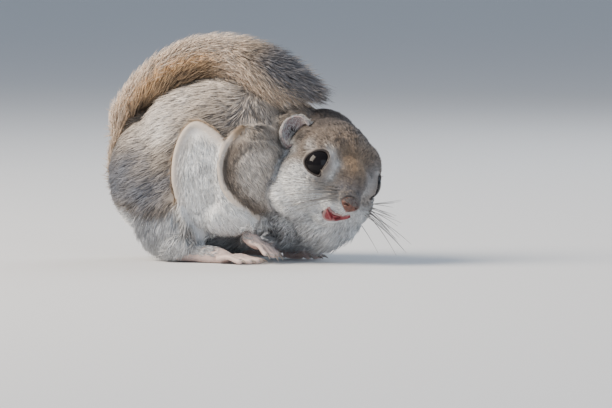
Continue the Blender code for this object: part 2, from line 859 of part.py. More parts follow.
def build_tail(body, neck, head):
    """The whole tail with its locks, cut into lengths that meet face to face."""
    whole = tail_core(22, 10)
    boolean(whole, "UNION", tail_locks())
    trim(whole, [body, neck, head])
    ends = (None, *TAIL_SPLITS, None)
    for index in range(len(ends) - 1):
        length = new_object("tail", whole.data.copy())
        if ends[index] is not None:
            boolean(length, "DIFFERENCE", [station_block(ends[index] + 0.03, -1)])
        if ends[index + 1] is not None:
            boolean(length, "DIFFERENCE", [station_block(ends[index + 1], 1)])
        finish(length, f"tail_{index + 1}", "tail")
    remove(whole)


def shoulder_box(side, gap):
    """The block of the body that belongs to one foreleg, larger by the gap."""
    x, y, z = FORELEG_FROM
    near, far = sorted((side * (y - gap), side * 60.0))
    return box((x - gap, near, 0.0), (60.0, far, z + gap))


def build_head():
    head = head_form()
    whole = new_object("head_whole", head.data.copy())
    for side in (1, -1):
        carve_eye(head, side)
    carve_mouth(head)
    boolean(head, "DIFFERENCE", [head_ball(NOSE_TIP, NOSE_RADII + Vector((GAP,) * 3))])
    return head, whole


def build_membranes(body, neck, head):
    edges = [smooth_line([(x, z, 0.0) for x, z in edge], 2) for edge in (FRONT_EDGE, REAR_EDGE)]
    front_edge, rear_edge = [[(spot.x, spot.y) for spot in edge] for edge in edges]
    membranes = {}
    for side, mark in ((1, "l"), (-1, "r")):
        front = flap(front_edge, FRONT_FILL, [], body, side, MEMBRANE_THICKNESS, 1.0, 220)
        sag = [ball(sided(PAD_SAG, side), PAD_SAG_RADII)]
        rear = flap(rear_edge, REAR_FILL, sag, body, side, PAD_THICKNESS, PAD_RIM, 260)
        trim(front, [body, neck, head])
        trim(rear, [body, front])
        finish(front, "membrane_front_" + mark, "back")
        finish(rear, "membrane_rear_" + mark, "belly")
        membranes[side] = [front, rear]
    return membranes


def build():
    body = body_form()
    neck = neck_form()
    head, head_whole = build_head()
    for side, mark in ((1, "l"), (-1, "r")):
        eye(side, "eye_" + mark)
        cup = ear(side, "ear_" + mark, head_whole)
        trim(body, [cup])
        trim(neck, [cup])
    trim(head, [body])
    trim(neck, [body, head_whole])
    finish(nose(), "nose", "nose")
    tongue()

    feet = {side: hind_foot(side) for side in (1, -1)}
    hands = {
        -1: hand(HAND_R, WRIST_R, HAND_R_TURN, HAND_R_TIP),
        1: hand(HAND_L, WRIST_L, HAND_L_TURN, HAND_L_TIP),
    }
    membranes = build_membranes(body, neck, head_whole)
    thighs = {}
    for side in (1, -1):
        trim(feet[side], [body, *membranes[side]])
        trim(hands[side], [body, neck, head_whole, *membranes[side], feet[side]])
        thighs[side] = trim(thigh_form(side), [body, *membranes[side], feet[side]])
    build_tail(body, neck, head_whole)

    rump = half(body, (HIP_PLANE_X - GAP / 2, 0, 0), (-1, 0, 0))
    torso = half(body, (HIP_PLANE_X + GAP / 2, 0, 0), (1, 0, 0))
    for side, mark in ((1, "l"), (-1, "r")):
        foreleg = new_object("foreleg", body.data.copy())
        boolean(foreleg, "INTERSECT", [shoulder_box(side, 0.0)])
        boolean(torso, "DIFFERENCE", [shoulder_box(side, GAP)])
        finish(foreleg, "foreleg_" + mark, "back")
        finish(thighs[side], "thigh_" + mark, "back")
        finish(feet[side], "foot_" + mark, "foot")
        finish(hands[side], "hand_" + mark, "foot")
    finish(torso, "torso", "back")
    finish(rump, "rump", "back")
    finish(neck, "neck", "back")
    finish(head, "head", "back")
    remove(body, head_whole)


def centre_on_origin():
    """Moves every node so that the origin is on the floor under the middle of the model."""
    corners = [vert.co for obj in ANIMAL.objects for vert in obj.data.vertices]
    low = Vector(min(spot[axis] for spot in corners) for axis in range(3))
    high = Vector(max(spot[axis] for spot in corners) for axis in range(3))
    middle = Vector(((low.x + high.x) / 2, (low.y + high.y) / 2, low.z))
    for obj in ANIMAL.objects:
        obj.data.transform(Matrix.Translation(-middle))


build()
centre_on_origin()
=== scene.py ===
"""A flying squirrel crouched on all fours with its tail over its back, as a life-size model."""

import math

import bmesh
import bpy
import numpy as np
from mathutils import Matrix, Vector
from mathutils.bvhtree import BVHTree
from mathutils.kdtree import KDTree


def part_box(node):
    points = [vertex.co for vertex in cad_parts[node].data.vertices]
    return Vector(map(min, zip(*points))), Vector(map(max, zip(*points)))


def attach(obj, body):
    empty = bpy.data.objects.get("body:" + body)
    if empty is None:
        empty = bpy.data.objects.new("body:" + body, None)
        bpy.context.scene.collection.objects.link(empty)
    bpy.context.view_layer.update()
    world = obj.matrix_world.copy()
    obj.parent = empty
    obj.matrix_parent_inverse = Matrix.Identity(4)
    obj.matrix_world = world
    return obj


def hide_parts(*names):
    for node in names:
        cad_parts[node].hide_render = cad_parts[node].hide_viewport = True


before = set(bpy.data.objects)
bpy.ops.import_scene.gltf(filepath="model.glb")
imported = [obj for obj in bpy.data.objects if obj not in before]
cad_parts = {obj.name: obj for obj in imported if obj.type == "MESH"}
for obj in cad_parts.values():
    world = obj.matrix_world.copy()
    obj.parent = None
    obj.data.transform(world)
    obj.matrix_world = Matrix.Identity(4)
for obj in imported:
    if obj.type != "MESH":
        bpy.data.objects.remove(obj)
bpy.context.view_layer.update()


# Camera
# A long lens from the animal's right side and a little ahead of it, just above the floor, and far
# enough off that the body shows almost no perspective.
VIEW_AZIMUTH = math.radians(22.0)
VIEW_ELEVATION = math.radians(3.0)
VIEW_DISTANCE = 2.0
VIEW_TARGET = Vector((0.01748, 0.01302, 0.01926))
LENS = 330.0

view_back = Vector(
    (
        math.sin(VIEW_AZIMUTH) * math.cos(VIEW_ELEVATION),
        -math.cos(VIEW_AZIMUTH) * math.cos(VIEW_ELEVATION),
        math.sin(VIEW_ELEVATION),
    )
)


def set_up(thing, **settings):
    """Sets these values of a camera, light, curve, node or modifier."""
    for name, value in settings.items():
        setattr(thing, name, value)
    return thing


bpy.ops.object.select_all(action="DESELECT")
bpy.ops.object.camera_add(location=VIEW_TARGET + view_back * VIEW_DISTANCE)
camera = bpy.context.object
camera.rotation_euler = view_back.to_track_quat("Z", "Y").to_euler()
set_up(camera.data, lens=LENS, sensor_width=36.0, clip_start=0.1, clip_end=60.0)
camera.data.dof.use_dof = False
bpy.context.scene.camera = camera
bpy.context.view_layer.update()


# Floor
# A plain pale studio floor, which isn't part of the animal. It runs on far behind it, so that the
# edge lies near the horizon.
FLOOR_SIZE = 30.0
FLOOR_DROP = 0.0002
FLOOR_COLOUR = (0.62, 0.63, 0.65, 1.0)


def new_material(name):
    material = bpy.data.materials.new(name)
    material.use_nodes = True
    return material, material.node_tree.nodes["Principled BSDF"]


def wire(tree, node, inputs):
    """Sets a node's inputs, each to a value or to a link from a socket."""
    for socket, value in inputs.items():
        if isinstance(value, bpy.types.NodeSocket):
            tree.links.new(value, node.inputs[socket])
        else:
            node.inputs[socket].default_value = value
    return node


bpy.ops.object.select_all(action="DESELECT")
bpy.ops.mesh.primitive_plane_add(size=FLOOR_SIZE, location=(0.0, 0.0, -FLOOR_DROP))
floor = bpy.context.object
floor.name = "floor"
floor_material, floor_shader = new_material("studio floor")
wire(floor_material.node_tree, floor_shader, {"Base Color": FLOOR_COLOUR, "Roughness": 0.9})
floor.data.materials.append(floor_material)


# Studio light
# A large warm key from the upper left as low sun would come, a cool fill from the right and
# ahead, and a pale room all round.
def soft_light(name, place, size, power, colour):
    bpy.ops.object.light_add(type="AREA", location=place)
    light = bpy.context.object
    light.name = name
    set_up(light.data, size=size, energy=power, color=colour)
    aim = Vector(place) - Vector((0.0, 0.0, 0.03))
    light.rotation_euler = aim.to_track_quat("Z", "Y").to_euler()


soft_light("key", (-0.88, -0.54, 0.86), 0.80, 43.5, (1.0, 0.88, 0.73))
soft_light("fill", (0.9, -0.9, 0.40), 0.9, 5.5, (0.76, 0.87, 1.0))
soft_light("back", (0.2, 1.0, 0.8), 0.8, 7.0, (0.88, 0.94, 1.0))
world = bpy.data.worlds.new("studio")
world.use_nodes = True
room = world.node_tree.nodes["Background"]
wire(world.node_tree, room, {"Color": (0.62, 0.71, 0.84, 1.0), "Strength": 0.60})
bpy.context.scene.world = world


# Skin
# The animal's whole hide without its hair: head, neck, trunk, thighs, arms, the folded gliding
# membrane and the bony core of the tail, in one closed form. It is made from the solids of the
# flesh, grown together across their joins, softened, and drawn in by the depth of the coat.
MM = 0.001
ORIGIN = Vector((-12.28, -0.09, 0.0))
HEAD_PLACE = Vector((45.9, -4.4, 32.1)) + ORIGIN
HEAD_TURN = (-22.9, 18.1, -44.3)
FLESH = (
    "head", "neck", "torso", "rump", "thigh_l", "thigh_r", "foreleg_l", "foreleg_r",
    "membrane_front_l", "membrane_front_r", "membrane_rear_l", "membrane_rear_r",
)
GROWTH = 0.24
SKIN_VOXEL = 0.62
TAIL_ROOT_FILL, TAIL_ROOT_FILL_RADIUS = Vector((-41.0, 0.0, 49.8)), 3.2
LIP_FILLS = (-5.6, -4.8, -3.8, -2.5, -1.2, 0.0, 1.2, 2.5, 3.8, 4.8, 5.6)
LIP_FILL_RADIUS = 1.2
REGION_BLEND = 1.3
SEARCH_REACH = 0.006
FAR_AWAY = 99.0
COAT_DEPTH = {
    "head": 0.7, "neck": 1.4, "torso": 1.6, "rump": 1.6, "thigh": 1.2, "foreleg": 0.9,
    "membrane_front": 0.25, "membrane_rear": 0.4, "tail": 0.0,
}
REGIONS = tuple(COAT_DEPTH)

# The middle line of the tail from root to tip, its half widths, and its roll to the right
TAIL_LINE = (
    (-33.0, 0.0, 22.6), (-37.2, 0.0, 29.6), (-36.2, 0.0, 39.6), (-32.4, 0.0, 49.6),
    (-25.7, 0.0, 59.0), (-16.7, 0.0, 66.6), (-5.5, 0.0, 71.4), (6.0, 0.0, 71.8),
    (17.0, -0.5, 68.6), (27.0, -1.0, 64.6), (35.5, -1.5, 61.2), (40.5, -2.0, 58.6),
)
TAIL_HALF_WIDTHS = (4.0, 6.0, 8.0, 10.0, 11.5, 12.5, 13.0, 13.0, 13.0, 12.5, 10.0, 5.0)
TAIL_ROLL_END = 42.0
TAIL_ROLL_STATIONS = (5.2, 8.6)
TAIL_CORE_SHARE = 0.34
TAIL_CORE_THICKNESS = 1.9
TAIL_CORE_END = 10.2
TAIL_CORE_RINGS, TAIL_CORE_SIDES = 44, 12

head_frame = Matrix.Translation(HEAD_PLACE)
for angle, axis in zip(reversed(HEAD_TURN), "ZYX"):
    head_frame = head_frame @ Matrix.Rotation(math.radians(angle), 4, axis)


def linked(name, data):
    obj = bpy.data.objects.new(name, data)
    bpy.context.collection.objects.link(obj)
    return obj


def select_only(*objects):
    bpy.ops.object.select_all(action="DESELECT")
    for obj in objects:
        obj.select_set(True)
    bpy.context.view_layer.objects.active = objects[0]


def modified(obj, kind, **settings):
    """Reshapes an object for good by one modifier of this kind."""
    select_only(obj)
    modifier = set_up(obj.modifiers.new(kind, kind), **settings)
    bpy.ops.object.modifier_apply(modifier=modifier.name)


def node_copy(node, name):
    """A copy of a solid's mesh with its loose triangles merged."""
    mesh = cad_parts[node].data.copy()
    mesh.name = name
    bm = bmesh.new()
    bm.from_mesh(mesh)
    bmesh.ops.remove_doubles(bm, verts=bm.verts, dist=1e-6)
    bm.to_mesh(mesh)
    bm.free()
    mesh.materials.clear()
    return linked(name, mesh)


def vectors_of(items, name):
    flat = np.empty(len(items) * 3)
    items.foreach_get(name, flat)
    return flat.reshape(-1, 3)


def points_of(mesh):
    return vectors_of(mesh.vertices, "co")


def normals_of(mesh):
    return vectors_of(mesh.vertex_normals, "vector")


def set_points(mesh, points):
    mesh.vertices.foreach_set("co", points.reshape(-1))
    mesh.update()


def tail_spot(station):
    """Middle, heading, flat direction, normal and half width of the tail at a station on it."""
    last = len(TAIL_LINE) - 1
    station = min(max(station, 0.0), last)
    index = min(int(station), last - 1)
    t = station - index
    before, start, end, after = (
        Vector(TAIL_LINE[min(max(index + step, 0), last)]) for step in (-1, 0, 1, 2)
    )
    pull_in = (end - before) / 2
    pull_out = (after - start) / 2
    middle = start * (2 * t**3 - 3 * t**2 + 1) + pull_in * (t**3 - 2 * t**2 + t)
    middle += end * (-2 * t**3 + 3 * t**2) + pull_out * (t**3 - t**2)
    heading = start * (6 * t**2 - 6 * t) + pull_in * (3 * t**2 - 4 * t + 1)
    heading += end * (-6 * t**2 + 6 * t) + pull_out * (3 * t**2 - 2 * t)
    heading.normalize()
    roll_start, roll_end = TAIL_ROLL_STATIONS
    turned = min(max((station - roll_start) / (roll_end - roll_start), 0.0), 1.0)
    roll = math.radians(TAIL_ROLL_END) * turned * turned * (3 - 2 * turned)
    flat = Vector((0.0, 1.0, 0.0))
    flat = (flat - heading * flat.dot(heading)).normalized()
    flat.rotate(Matrix.Rotation(roll, 3, heading))
    normal = heading.cross(flat).normalized()
    half = TAIL_HALF_WIDTHS[index] * (1 - t) + TAIL_HALF_WIDTHS[index + 1] * t
    return middle + ORIGIN, heading, flat, normal, half


def ringed(name, rings, capped):
    """A form whose faces join each ring to the next, with flat caps on its end rings or without."""
    bm = bmesh.new()
    loops = [[bm.verts.new(point) for point in ring] for ring in rings]
    for near, far in zip(loops, loops[1:]):
        sides = max(len(near), len(far))
        for side in range(sides):
            after = (side + 1) % sides
            corners = [near[side % len(near)], near[after % len(near)]]
            corners += [far[after % len(far)], far[side % len(far)]]
            bm.faces.new(list(dict.fromkeys(corners)))
    if capped:
        bm.faces.new(loops[0])
        bm.faces.new(loops[-1])
        bmesh.ops.recalc_face_normals(bm, faces=bm.faces)
    mesh = bpy.data.meshes.new(name)
    bm.to_mesh(mesh)
    bm.free()
    return linked(name, mesh)


def tail_core_ring(share):
    """A flat ring round the bony core of the tail, narrow at its tip."""
    middle, _, flat, normal, half = tail_spot(TAIL_CORE_END * share)
    narrow = min(1.0, (1.02 - share) * 5.0)
    ring = []
    for side in range(TAIL_CORE_SIDES):
        angle = 2 * math.pi * side / TAIL_CORE_SIDES
        across = flat * math.cos(angle) * half * TAIL_CORE_SHARE * narrow
        through = normal * math.sin(angle) * TAIL_CORE_THICKNESS * narrow
        ring.append((middle + across + through) * MM)
    return ring


FRAME_WIDTH = 612
FRAME_HEIGHT = 408
FRONT_RIM_SPOTS = (
    (241, 127), (236, 132), (228, 140), (221, 154), (218, 171), (222, 189), (234, 202),
    (249, 211), (262, 221),
)
REAR_RIM_SPOTS = (
    (223, 141), (209, 130), (197, 120), (183, 131), (174, 158), (173, 184), (180, 212), (194, 236),
)
RIM_THICKNESS = 0.8
RIM_PROUD = 0.6
RIM_ROUNDNESS = 2
RIM_CAPS = 2

view_right = Vector((0.0, 0.0, 1.0)).cross(view_back).normalized()
view_up = view_back.cross(view_right).normalized()


def seen_at(across, down, trees):
    """The nearest place on these surfaces that shows at this spot of the frame."""
    width = camera.data.sensor_width / LENS
    ray = view_right * (across - FRAME_WIDTH / 2) * width / FRAME_WIDTH
    ray -= view_up * (down - FRAME_HEIGHT / 2) * width / FRAME_WIDTH
    ray = (ray - view_back).normalized()
    hits = [tree.ray_cast(camera.location, ray) for tree in trees]
    hits = [hit for hit in hits if hit[0] is not None]
    if not hits:
        hits = [tree.find_nearest(camera.location + ray * VIEW_DISTANCE) for tree in trees]
    return min(hits, key=lambda hit: (hit[0] - camera.location).length)[0]


def tube(name, points, radii, roundness, steps=3, cyclic=False, thickness=1.0, unit_length=MM):
    """A round strand along a smooth line, as a mesh at the origin."""
    curve = set_up(
        bpy.data.curves.new(name, "CURVE"),
        dimensions="3D", bevel_depth=thickness * MM, bevel_resolution=roundness, use_fill_caps=not cyclic,
    )
    spline = curve.splines.new("NURBS")
    spline.points.add(len(points) - 1)
    for spot, point, radius in zip(spline.points, points, radii):
        spot.co = (*(Vector(point) * unit_length), 1.0)
        spot.radius = radius
    set_up(spline, order_u=min(4, len(points)), use_endpoint_u=not cyclic)
    set_up(spline, use_cyclic_u=cyclic, resolution_u=steps)
    select_only(linked(name, curve))
    bpy.ops.object.convert(target="MESH")
    return bpy.context.object


def rolled_rim(name, spots, side):
    """The rolled free edge of the membrane, laid on the flank through these spots of the frame."""
    places = [seen_at(*spot, flesh_trees.values()) + view_back * RIM_PROUD * MM for spot in spots]
    places = [Vector((place.x, place.y * -side, place.z)) for place in places]
    rim = tube(name, places, [1.0] * len(places), RIM_ROUNDNESS, 6, False, RIM_THICKNESS, 1.0)
    rings = points_of(rim.data).reshape(-1, 4 + 2 * RIM_ROUNDNESS, 3).mean(axis=1)
    return rim, rings[RIM_CAPS::2] / MM


flesh_trees = {}
flesh_copies = []
for node in FLESH:
    piece = node_copy(node, "flesh " + node)
    flesh_trees[node] = BVHTree.FromObject(piece, bpy.context.evaluated_depsgraph_get())
    set_points(piece.data, points_of(piece.data) + normals_of(piece.data) * GROWTH * MM)
    flesh_copies.append(piece)

# Small fills where the solids leave a gap: at the root of the tail and behind the upper lip
fills = [(TAIL_ROOT_FILL, TAIL_ROOT_FILL_RADIUS)]
for across in LIP_FILLS:
    behind_lip = Vector((18.9 - 0.127 * across**2, across, -9.6 - 0.035 * across**2))
    fills.append((head_frame @ behind_lip, LIP_FILL_RADIUS))
for place, radius in fills:
    bpy.ops.mesh.primitive_ico_sphere_add(subdivisions=2, radius=radius * MM, location=place * MM)
    flesh_copies.append(bpy.context.object)
core_rings = [tail_core_ring(ring / TAIL_CORE_RINGS) for ring in range(TAIL_CORE_RINGS + 1)]
core = ringed("tail core", core_rings, True)
flesh_trees["tail"] = BVHTree.FromObject(core, bpy.context.evaluated_depsgraph_get())
flesh_copies.append(core)
rims = {}
for side in (1, -1):
    for label, spots in (("front", FRONT_RIM_SPOTS), ("rear", REAR_RIM_SPOTS)):
        rim, rims[label, side] = rolled_rim(label + " rim", spots, side)
        flesh_copies.append(rim)

select_only(*flesh_copies)
bpy.ops.object.join()
skin = bpy.context.object
skin.name = "skin"
skin.data.name = "skin"
modified(skin, "REMESH", mode="VOXEL", voxel_size=SKIN_VOXEL * MM)


def nearest_distances(points):
    """How far each point is from each region of the animal, in mm."""
    found = np.full((len(points), len(REGIONS)), FAR_AWAY)
    for node, tree in flesh_trees.items():
        region = REGIONS.index(node[:-2] if node[-2:] in ("_l", "_r") else node)
        for index, point in enumerate(points):
            hit = tree.find_nearest(point, SEARCH_REACH)
            if hit[0] is not None:
                found[index, region] = min(found[index, region], hit[3] / MM)
    return found


def ramp(values, low, high):
    share = np.clip((values - low) / (high - low), 0.0, 1.0)
    return share * share * (3 - 2 * share)


def rim_distance(points, label):
    """How far each point is from the rolled rim of the membrane, in mm, and how the rim runs."""
    nearest = np.full(len(points), FAR_AWAY)
    along = np.zeros((len(points), 3))
    for edge_side in (1, -1):
        spots = np.array(rims[label, edge_side])
        for start, end in zip(spots, spots[1:]):
            run = end - start
            share = np.clip((points - start) @ run / (run @ run), 0.0, 1.0)
            apart = np.linalg.norm(points - start - share[:, None] * run, axis=1)
            closer = apart < nearest
            nearest[closer] = apart[closer]
            along[closer] = run / np.linalg.norm(run)
    return nearest, along


distances = nearest_distances([Vector(p) for p in points_of(skin.data)])
region_share = np.exp(-((distances / REGION_BLEND) ** 2)) + 1e-9
region_share /= region_share.sum(axis=1, keepdims=True)

EYE_CENTRE = Vector((9.2, 9.9, 2.3))
EYE_RADIUS = 5.6
MOUTH = Vector((16.8, -0.4, -10.6))
NOSE_TIP = Vector((23.4, 0.0, -3.4))

to_head = np.array(head_frame.inverted())


def head_coordinates(points):
    """World points in mm, as seen from the head: ahead, to its left and up."""
    return points @ to_head[:3, :3].T + to_head[:3, 3]


def near(points, place, reach):
    return np.exp(-(((points - np.array(place)) ** 2).sum(axis=1)) / reach**2)


def mirror_head(points):
    turned = head_coordinates(points)
    turned[:, 1] = np.abs(turned[:, 1])
    return turned


mirrored = mirror_head(points_of(skin.data) / MM)
bare = ramp(near(mirrored, EYE_CENTRE, 8.0), 0.35, 0.6)
bare = np.maximum(bare, near(mirrored, MOUTH, 6.5))
bare = np.maximum(bare, near(mirrored, NOSE_TIP, 5.0))
softness = skin.vertex_groups.new(name="softness")
soft_share = np.clip(1.0 - 0.85 * region_share[:, REGIONS.index("head")] - bare, 0.06, 1.0)
rolled = np.zeros(len(mirrored))
for label in ("front", "rear"):
    rolled = np.maximum(rolled, ramp(-rim_distance(points_of(skin.data) / MM, label)[0], -2.2, -1.2))
soft_share *= 1.0 - 0.8 * rolled
for index, share in enumerate(soft_share):
    softness.add([index], float(share), "REPLACE")
modified(skin, "SMOOTH", factor=0.6, iterations=18, vertex_group="softness")
skin.vertex_groups.clear()

depth = region_share @ np.array([COAT_DEPTH[name] for name in REGIONS])
depth *= (1.0 - bare) * (1.0 - rolled)
set_points(skin.data, points_of(skin.data) - normals_of(skin.data) * depth[:, None] * MM)
modified(skin, "SMOOTH", factor=0.5, iterations=2)
select_only(skin)
bpy.ops.object.shade_smooth()


def unwrap(obj):
    """An unwrap of a skin, from which each tuft on it takes the place of its root."""
    select_only(obj)
    bpy.ops.object.mode_set(mode="EDIT")
    bpy.ops.mesh.select_all(action="SELECT")
    bpy.ops.uv.smart_project(angle_limit=math.radians(66.0), island_margin=0.002)
    bpy.ops.object.mode_set(mode="OBJECT")
    obj.data.uv_layers[0].name = "OFBake"


unwrap(skin)
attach(skin, "root")
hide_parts(*FLESH, "tail_1", "tail_2", "tail_3", "tail_4")


# Markings
# The colours that the hide and the coat share: grey-brown above, white below, golden buff under
# the tail and on the brow, pale cream rims to the gliding membrane with a dark band of painted
# shade inside them. Some spots below also carry painted shade, painted shadow or painted sunlight.
# Each place is named by where it is seen in the frame, laid on the hide there, and mirrored.
DARK, BUFF, PALE, SLATE = (1, 0, 0, 0), (0, 1, 0, 0), (0, 0, 1, 0), (0, 0, 0, 1)
# Cream for pale hair tips, brightened as painted sunlight on the upper back
SUNLIT_CREAM = (0, 0.4, 0.6, 0)

skin_tree = BVHTree.FromObject(skin, bpy.context.evaluated_depsgraph_get())


def on_hide(spot):
    """The place on the hide that shows at this spot of the frame, in mm."""
    return np.array(seen_at(*spot, (skin_tree,))) / MM


# Spot in the frame, reach in mm, marking and how strong it is
HEAD_MARKINGS = (
    ((352, 158), 5.0, (0.25, 0.7, 0, 0), 0.5),
    ((360, 170), 3.4, (0.25, 0.7, 0, 0), 0.45),
    ((332, 152), 2.4, PALE, 0.7),
    ((336, 165), 2.6, PALE, 0.7),
    ((331, 177), 2.4, PALE, 0.65),
    ((312, 146), 2.4, PALE, 0.55),
    ((297, 170), 3.6, (0, 0, 0.85, 0.9), 0.65),
    ((284, 158), 5.0, (0, 0, 0.85, 0.9), 0.6),
    ((281, 175), 5.0, (0, 0, 0.85, 0.9), 0.7),
    ((300, 184), 4.5, (0, 0, 0.8, 1), 0.8),
    ((293, 150), 4.2, (0, 0, 0.8, 0.3), 0.75),
    ((347, 188), 3.0, SLATE, 0.4),
    ((347, 196), 1.6, DARK, 0.35),
    ((338, 190), 3.0, SLATE, 0.35),
    # Painted shadow beside the muzzle, between nose and eye
    ((364, 183), 1.0, DARK, 0.6),
    # Painted shade on the crown and along its upper rim
    ((328, 120), 9.0, (0.81, 0.1, 0, 0.75), 0.92),
    ((345, 127), 6.0, (0.76, 0.1, 0, 0.75), 0.87),
    ((346, 143), 6.0, (0.3, 0.4, 0.05, 0.2), 0.5),
    ((330, 139), 4.5, (0.6, 0.15, 0, 0.5), 0.45),
    # Painted shadow of the ear's opening, on the hide in front of the ear
    ((301, 138), 2.2, (1, 0, 0, 0.3), 0.9),
)
BODY_MARKINGS = (
    # Painted sunlight on the pale hair tips of the upper back, strongest on the left
    ((150, 132), 7.0, SUNLIT_CREAM, 0.8),
    ((165, 112), 9.0, SUNLIT_CREAM, 0.95),
    ((195, 95), 8.0, SUNLIT_CREAM, 0.75),
    ((225, 88), 6.0, SUNLIT_CREAM, 0.4),
    # Painted shade: slate low on the rump
    ((115, 165), 8.0, (0.3, 0, 0, 1), 0.8),
    ((170, 129), 5.0, (0, 0.3, 0.8, 0), 0.7),
    # Painted shade: slate on the lower rump and flank, and over the white underside of the thigh
    ((142, 154), 5.5, (0.2, 0, 0, 1), 0.6),
    ((123, 183), 8.5, (0.25, 0, 0, 1), 0.85),
    ((150, 190), 7.0, (0.2, 0, 0, 1), 0.85),
    ((170, 180), 3.5, SLATE, 0.5),
    ((132, 165), 4.0, SLATE, 0.6),
    ((150, 224), 8.0, SLATE, 0.4),
    ((118, 198), 1.6, DARK, 0.5),
    ((126, 201), 1.6, DARK, 0.6),
    ((134, 203), 1.6, DARK, 0.6),
    ((142, 205), 1.6, DARK, 0.6),
    ((150, 206), 1.6, DARK, 0.6),
    ((158, 206), 1.6, DARK, 0.6),
    ((166, 204), 1.6, DARK, 0.5),
    # Painted shade in the hollow above the top fold of the rear flap
    ((216, 126), 3.6, (0.6, 0, 0, 0.4), 0.65),
    ((182, 214), 2.2, DARK, 0.45),
    ((190, 230), 2.4, DARK, 0.5),
    # Painted shadow of the tail: on the shoulder just below it, and on the neck above the ear
    ((240, 108), 7.0, SLATE, 0.15),
    ((236, 119), 4.0, (0.5, 0, 0, 0.6), 0.5),
    ((300, 112), 4.5, (0.7, 0, 0, 0.3), 0.6),
    # Painted light: a paler spot that lifts the tail's shadow on the shoulder
    ((266, 120), 6.0, (0, 0.25, 0.35, 0), 0.6),
)
# Markings that only the side of the face nearest that spot carries
ONE_SIDE_MARKINGS = (
    # The next spot is painted shade beside the muzzle, on the far side of the face
    ((371, 174), 4.5, (0.3, 0.1, 0, 0.5), 0.7),
    ((367, 187), 4.5, (0.2, 0.05, 0.2, 0.7), 0.6),
    # Painted shadow in the notch behind the cheek
    ((274, 181), 2.6, (0.5, 0, 0, 0.6), 0.7),
    ((289, 152), 3.5, (0, 0, 0.75, 0.6), 0.75),
)
SPUR_SPOT = (240, 129)


def lay(marks, *layers):
    """Marks with further markings laid over them, each by its share at every point."""
    for marking, share in layers:
        marks = marks * (1 - share[:, None]) + np.array(marking) * share[:, None]
    return marks


def paint(marks, points, mirror, spots):
    """Marks with these spots of the frame laid over them."""
    for spot, reach, marking, strength in spots:
        place = mirror(on_hide(spot)[None, :])[0]
        marks = lay(marks, (marking, near(points, place, reach) * strength))
    return marks


def mirror_body(points):
    return np.column_stack((points[:, 0], np.abs(points[:, 1]), points[:, 2]))


skin_points = points_of(skin.data) / MM
skin_normals = normals_of(skin.data)
head_points = mirror_head(skin_points)
body_points = mirror_body(skin_points)
STATION_STEP = 0.05
STATION_COUNT = 221
on_head, on_neck, on_torso, on_rump, on_thigh, on_arm, on_sleeve, on_pad, on_tail = region_share.T

stations = [tail_spot(index * STATION_STEP) for index in range(STATION_COUNT)]
station_parts = [np.array(part) for part in zip(*stations)]
nearest_station = np.array(
    [int(((station_parts[0] - point) ** 2).sum(axis=1).argmin()) for point in skin_points]
)
station_middles, tail_headings, tail_flats, tail_normals, tail_halves = (
    part[nearest_station] for part in station_parts
)
from_middle = skin_points - station_middles
tail_across = (from_middle * tail_flats).sum(axis=1) / (tail_halves * TAIL_CORE_SHARE)
tail_above = (from_middle * tail_normals).sum(axis=1) / TAIL_CORE_THICKNESS
tail_along = nearest_station * STATION_STEP


blank = np.zeros((len(skin_points), 4))
body_marks = lay(
    blank,
    ((0, 0, 0.6, 0.9), 0.95 * ramp(-body_points[:, 2], -20.5, -17.0)),
    ((0, 0.2, 0.3, 0), 0.6 * ramp(body_points[:, 0], -2.0, 6.0)),
)
body_marks = paint(body_marks, body_points, mirror_body, BODY_MARKINGS)
head_marks = lay(
    blank,
    ((0.6, 0.24, 0, 0.45), 0.9 * ramp(head_points[:, 2], -5.0, 5.0)),
    ((0, 0, 0.84, 0.9), ramp(-head_points[:, 2], 3.0, 8.0)),
)
head_marks = paint(head_marks, head_points, mirror_head, HEAD_MARKINGS)
# Painted shade inside the mouth: the hide behind the lips turns dark
mouth_shade = near(head_points, MOUTH - Vector((3.0, 0.0, 1.0)), 3.4)
head_marks = lay(head_marks, (DARK, ramp(mouth_shade, 0.3, 0.6)))
neck_marks = lay(blank, ((0, 0, 0.65, 0.9), ramp(-body_points[:, 2], -30.0, -24.0)))
sleeve_marks = lay(blank, ((0, 0.25, 0.5, 0), 0.75 * ramp(-skin_points[:, 2], -47.0, -38.0)))
toward_tip = ramp(tail_along, 6.5, 8.3)
toward_root = 1 - toward_tip
# Painted sunlight: the buff fringe along the lower edge of the tail's front half, brightened to cream
sunlit_tail_edge = np.clip(ramp(-tail_across, 0.45, 0.9) + ramp(-tail_above, 0.1, 0.6), 0.0, 1.0)
sunlit_tail_edge = sunlit_tail_edge * 0.95 * ramp(tail_along, 5.6, 6.8) * ramp(-tail_along, -9.8, -8.6)
tail_marks = lay(
    blank,
    (BUFF, 0.85 * toward_root),
    ((0, 0.95, 0.45, 0), 0.95 * ramp(tail_above, -0.4, 0.6) * toward_root),
    ((0.3, 0, 0, 0.7), 0.85 * ramp(tail_above, -0.4, 0.3) * toward_tip),
    # Painted shade: the buff underside near the root, darkened to brown where it faces the back
    ((0.8, 0.2, 0, 0), 0.6 * ramp(-tail_above, 0.3, 0.9) * toward_root),
    # Painted sunlight on the tail's lower edge
    ((0, 0.9, 0.4, 0), sunlit_tail_edge),
)

